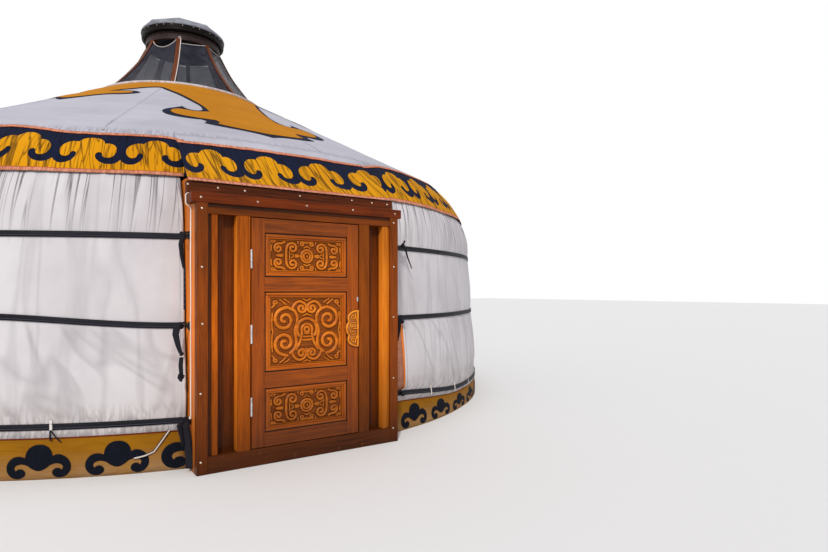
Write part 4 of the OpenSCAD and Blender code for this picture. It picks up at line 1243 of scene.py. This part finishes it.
# Two thin strips on the sun-facing sides of the left mullion and the right stile carry painted sunlight.
for x in (-0.576, 0.7192):
    plank(recess, (x - 0.0008, x + 0.0008), (4.2, 4.268), (0.132, 1.922), ease=0.0005, finish=1)
boards("mullions", mullions, [rail_wood, brown_wood], "door_mullions")
boards("stops", stops, [rail_wood], "door_stops")
boards("sidelight_frames", stiles, [rail_wood, groove_painted_shade, sunlit_rail_wood], "sidelight_stiles")
boards("sidelight_boards", recess, [recess_wood, painted_sunlit_wood], "sidelight_panels")

# Door leaf: two stiles and four rails of warm brown varnished wood, jointed round three carved panels.
# It hangs on three steel hinges at the left and swings outwards.
leaf_wood = wood("leaf_wood", (176, 84, 4), (100, 40, 0), 0.1, 0.25)
leaf_rail_wood = wood("leaf_rail_wood", (176, 84, 6), (98, 42, 2), 0.1, 0.25)
made = bmesh.new()
for x in ((-0.465, -0.3615), (0.3615, 0.465)):
    plank(made, x, (4.227, 4.277), (0.137, 1.917))
for z in ((0.137, 0.247), (0.593, 0.715), (1.347, 1.461), (1.807, 1.917)):
    plank(made, (-0.361, 0.361), (4.227, 4.2765), z, "x", finish=1)
boards("leaf_boards", made, [leaf_wood, leaf_rail_wood], "leaf_frame", "door_leaf")

# Carved panels: each has a two-step moulding round a sunk field, filled with a scroll pattern cut in relief.
# The field between the strokes is stained dark with painted shade on top, and black painted shade fills a
# thin gap round the moulding.
carved_wood = wood("carved_wood", (232, 132, 24), (160, 80, 8), 0.15, 0.25, own_grain=False)
moulding_wood = wood("moulding_wood", (204, 104, 10), (134, 60, 3), 0.1, 0.25)
field_stain_and_shade = wood("field_stain_and_shade", (154, 78, 18), (92, 44, 10), 0.0, 0.0)
cut_shadow = wood("cut_shadow", (46, 20, 6), (24, 10, 4), 0.1)
gap_painted_shade = mottled("gap_painted_shade", 0.9, (16, 9, 6), (30, 18, 12), 30.0, 1.0)[0]


def volute(x, z, size, start, turns, lead=(), inner=0.16):
    """Points of a scroll that winds in round (x, z) from an angle; turns is minus when it winds clockwise"""
    steps = max(int(abs(turns) * 14), 6)
    curl = []
    for k in range(steps + 1):
        reach = size * (1 - (1 - inner) * (k / steps) ** 0.85)
        angle = radians(start + 360 * turns * k / steps)
        curl.append((x + reach * cos(angle), z + reach * sin(angle)))
    return list(lead) + curl


def arc(z, size, start=0, end=360, steps=16):
    """Points of an arc round (0, z)"""
    angles = [radians(start + (end - start) * k / steps) for k in range(steps + 1)]
    return [(size * cos(angle), z + size * sin(angle)) for angle in angles]


# A stroke is its points and its width; a quarter and a half are mirrored, a middle is cut once.
small_quarter = (
    (volute(0.125, 0.062, 0.05, 0, 1.45, [(0.178, 0), (0.179, 0.03)]), 0.0085),
    ([(0.148, 0), (0.147, 0.018), (0.152, 0.034)], 0.0045),
    ([(0.068, 0), (0.08, 0.006), (0.104, 0.008)], 0.008), ([(0.112, 0), (0.12, 0.012), (0.14, 0.02)], 0.004),
    (volute(0.243, 0.056, 0.044, 125, -1.45, [(0.188, 0.108), (0.203, 0.104)]), 0.0082),
    ([(0.205, 0), (0.214, 0.01), (0.232, 0.006), (0.262, 0)], 0.007),
    (volute(0.04, 0.096, 0.022, 150, -1.3, [(0, 0.105), (0.01, 0.112)], 0.25), 0.0058),
    ([(0, 0.08), (0.016, 0.07), (0.03, 0.066)], 0.005), (volute(0.29, 0.106, 0.016, 210, -1, (), 0.3), 0.005),
    ([(0.262, 0.112), (0.276, 0.118), (0.296, 0.12)], 0.004),
    ([(0.296, 0.085), (0.303, 0.06), (0.3, 0.03)], 0.0045),
    ([(0.074, 0.118), (0.086, 0.108), (0.072, 0.098)], 0.0045))
small_middle = ((arc(0, 0.05, steps=28), 0.008), (arc(0, 0.029, steps=20), 0.007),
                ([(-0.004, 0), (0.004, 0)], 0.011))
big_half = [
    (volute(-0.19, 0.09, 0.104, 75, 1.62, (), 0.12), 0.0118),
    (volute(-0.19, -0.096, 0.104, -75, -1.62, (), 0.12), 0.0118),
    ([(-0.165, 0.188), (-0.112, 0.172), (-0.084, 0.13), (-0.082, 0.08), (-0.094, 0.03), (-0.108, -0.005),
      (-0.098, -0.045), (-0.088, -0.09), (-0.095, -0.145), (-0.15, -0.183)], 0.0105),
    (volute(-0.046, 0.18, 0.052, 95, -1.5,
            [(-0.126, 0.178), (-0.116, 0.206), (-0.09, 0.232), (-0.06, 0.238)]), 0.0095),
    (volute(-0.046, -0.186, 0.05, -95, 1.5,
            [(-0.128, -0.176), (-0.118, -0.208), (-0.09, -0.234), (-0.06, -0.24)]), 0.0095)]
for line, size in (
        (volute(-0.266, 0.228, 0.022, 250, -1.2, [(-0.3, 0.185), (-0.285, 0.2)], 0.25), 0.0062),
        ([(-0.235, 0.252), (-0.205, 0.236), (-0.18, 0.21)], 0.0062),
        ([(-0.2, 0.255), (-0.17, 0.245), (-0.15, 0.225)], 0.005)):
    big_half += [(line, size), ([(x, -z) for x, z in line], size)]
big_half += [
    ([(-0.292, 0.15), (-0.3, 0.06), (-0.298, 0.01), (-0.286, -0.006)], 0.0055),
    ([(-0.292, -0.16), (-0.3, -0.07), (-0.298, -0.02), (-0.286, -0.006)], 0.0055),
    ([(0, 0.238), (-0.018, 0.25), (-0.034, 0.254)], 0.0055),
    ([(0, -0.242), (-0.018, -0.252), (-0.034, -0.256)], 0.0055),
    ([(0, 0.135), (-0.022, 0.12), (-0.04, 0.118)], 0.0055),
    ([(0, -0.148), (-0.014, -0.16), (-0.022, -0.175)], 0.006)]
big_middle = (
    (arc(0.01, 0.086, 222, -42, 26), 0.0105), (arc(0.006, 0.047, 205, -25, 18), 0.0092),
    *(([(0.043 * way, -0.014), (0.045 * way, -0.06), (0.062 * way, -0.11), (0.098 * way, -0.158)], 0.0092)
      for way in (-1, 1)),
    (arc(0.006, 0.021), 0.0085), ([(-0.034, -0.052), (0.034, -0.052)], 0.0075),
    ([(-0.04, -0.078), (0.04, -0.078)], 0.0075), ([(-0.022, -0.022), (0, -0.034), (0.022, -0.022)], 0.006))


def carve(lines, grow, passes, x, z):
    """Strokes in relief round (x, z); each pass adds to their width, flattens them and has its own front; a
    widened pass takes the second finish, a painted shade outline round each stroke
    """
    strokes = bmesh.new()
    for wider, thick, front in passes:
        drawn = bmesh.new()
        for line, size in lines:
            tube(drawn, [(a, 0.0, b) for a, b in line], size * grow + wider, 4, finish=1 if wider else 0)
        for vert in drawn.verts:
            vert.co = ahead(x + vert.co.x, front - vert.co.y * thick, z + vert.co.z)
        strokes.from_mesh(as_mesh("strokes", drawn))
    return strokes


def carved_panel(name, middle, half_high, part, turns, whole):
    """A moulded panel with its pattern: part is mirrored in each of turns, whole is cut once"""
    made = bmesh.new()
    half_wide = 0.3612
    gap = 0.0098
    sunk = half_high - 0.0455
    for out, inside, front in ((0.3515, 0.33, 4.273), (0.33, 0.3155, 4.268)):
        top, lower = half_high - 0.361 + out, half_high - 0.361 + inside
        for way in (-1, 1):
            plank(made, (-out, out), (4.243, front), (middle + way * lower, middle + way * top), "x", 0.0035)
            plank(made, (way * inside, way * out), (4.243, front), (middle - lower, middle + lower),
                  ease=0.0035)
    # The sunk field is partly stained dark and partly painted shade between the strokes.
    plank(made, (-0.3155, 0.3155), (4.236, 4.253), (middle - sunk, middle + sunk), "x", 0.001, finish=1)
    plank(made, (-half_wide, half_wide), (4.231, 4.242), (middle - half_high, middle + half_high), "x", 0.001)
    # Black painted shade lines the gap between the moulding and the leaf.
    for way in (-1, 1):
        plank(made, (-half_wide, half_wide), (4.235, 4.2665),
              (middle + way * (half_high - gap), middle + way * half_high), "x", 0.001, finish=2)
        plank(made, (way * (half_wide - gap), way * half_wide), (4.235, 4.2665),
              (middle - half_high, middle + half_high), ease=0.001, finish=2)
    boards(name + "_board", made, [moulding_wood, field_stain_and_shade, gap_painted_shade], name, "door_leaf")
    wide, high = 0.3095, half_high - 0.0515
    lines = [([(x * across, z * up) for x, z in line], size) for across, up in turns for line, size in part]
    lines += whole
    lines += [([(-wide, z), (wide, z)], 0.003) for z in (-high, high)]
    lines += [([(x, -high), (x, high)], 0.003) for x in (-wide, wide)]
    strokes = carve(lines, 1.34, ((0.0045, 0.12, 4.2536), (0.0, 0.8, 4.2555)), 0.0, middle)
    piece(name + "_carving", strokes, [carved_wood, cut_shadow], "door_leaf")


four_ways = ((1, 1), (-1, 1), (1, -1), (-1, -1))
carved_panel("carved_panel_top", 1.634, 0.173, small_quarter, four_ways, small_middle)
carved_panel("carved_panel_middle", 1.031, 0.316, big_half, four_ways[:2], big_middle)
carved_panel("carved_panel_bottom", 0.42, 0.173, small_quarter, four_ways, small_middle)

# Door pull: a scalloped plate carved from one piece of light orange wood, with a raised rim and scrolls.
# It is screwed to the leaf's free stile and overhangs the carved panel's moulding.
pull_wood = wood("pull_wood", (206, 124, 52), (142, 76, 24), 0.25, 0.25, own_grain=False)
# The rim and scrolls are a lighter copy of the plate's wood, a painted highlight on the raised parts,
# outlined in painted shade.
pull_rim_highlight = wood("pull_rim_highlight", (250, 160, 40), (196, 106, 16), 0.15, 0.25, own_grain=False)
pull_x, pull_z = 0.465, 1.031
pull_line = [(0, 0.156), (-0.04, 0.157), (-0.08, 0.142), (-0.108, 0.112), (-0.108, 0.078), (-0.095, 0.056),
             (-0.118, 0.04), (-0.127, 0)]
pull_line += [(x, -z) for x, z in reversed(pull_line[:-1])]
plate_made = bmesh.new()
smooth_line = [(x, z, 0 if x in (0, -0.095) else 1) for x, z in pull_line]
plate_made.from_mesh(cut_out("pull_plate", smooth_line, close_up=5))
welded(plate_made, 0.0002)
for item in bmesh.ops.extrude_face_region(plate_made, geom=plate_made.faces[:])["geom"]:
    if isinstance(item, bmesh.types.BMVert):
        item.co.z += 0.013
for vert in plate_made.verts:
    vert.co = ahead(pull_x + vert.co.x, 4.2773 + vert.co.z, pull_z + vert.co.y)
bmesh.ops.recalc_face_normals(plate_made, faces=plate_made.faces)
boards("pull_plate", plate_made, [pull_wood], "door_pull", "door_leaf")
pull_lines = [([(x * 0.95 if x < -0.01 else -0.008, z * 0.955) for x, z in pull_line], 0.0085),
              ([(-0.01, 0.146), (-0.01, -0.146)], 0.0085), ([(-0.016, 0), (-0.044, 0), (-0.06, 0)], 0.006)]
for way in (1, -1):
    for line, size in (
            (volute(-0.058, 0.1, 0.028, 60, -1.4,
                    [(-0.024, 0.062), (-0.026, 0.098), (-0.034, 0.122)]), 0.005),
            (volute(-0.068, 0.026, 0.023, 90, 1.2, [(-0.024, 0.046), (-0.045, 0.052)]), 0.0048)):
        pull_lines.append(([(x, z * way) for x, z in line], size))
piece("pull_rims", carve(pull_lines, 1.0, ((0.0042, 0.1, 4.2908), (0.0, 1.0, 4.291)), pull_x, pull_z),
      [pull_rim_highlight, cut_shadow], "door_leaf")

# Hinges: three bright steel butt hinges, two halves each, set in the edge of the leaf and the left mullion.
# A small steel catch sits at the leaf's free edge.
hinge_steel, shader = mottled("hinge_steel", 0.3, (222, 222, 226), (150, 140, 132), 30.0, 0.7, Metallic=0.85)
brushed = patches(scaled(object_spot(shader), (300.0, 300.0, 14.0)), 1.0, 3.0)
link(shader, Roughness=ramp(brushed, 0.0, 1.0, 0.22, 0.5))
refinish(hinge_steel, "frame_hinge_halves", "leaf_hinge_halves")
tips = bmesh.new()
for z in (0.461, 1.019, 1.598):
    for way in (-1, 1):
        nail(tips, ahead(-0.47, 4.285, z + way * 0.07), Vector((0, 0, way)), 0.0062, 0.8)
piece("hinge_tips", tips, [hinge_steel])
catch = plank(bmesh.new(), (0.452, 0.4648), (4.276, 4.2785), (1.262, 1.298), ease=0.0008)
piece("catch_plate", catch, [hinge_steel], "door_leaf", smooth=False)

# Lattice and roof poles: inside, the wall lattice is plain reddish wood and the poles are painted orange.
refinish(wood("lath_wood", (170, 104, 62), (118, 66, 38), 0.3, 0.0, own_grain=False), *lattices)
refinish(wood("pole_paint", (222, 104, 40), (176, 70, 26), 0.4, 0.1, own_grain=False), *poles)
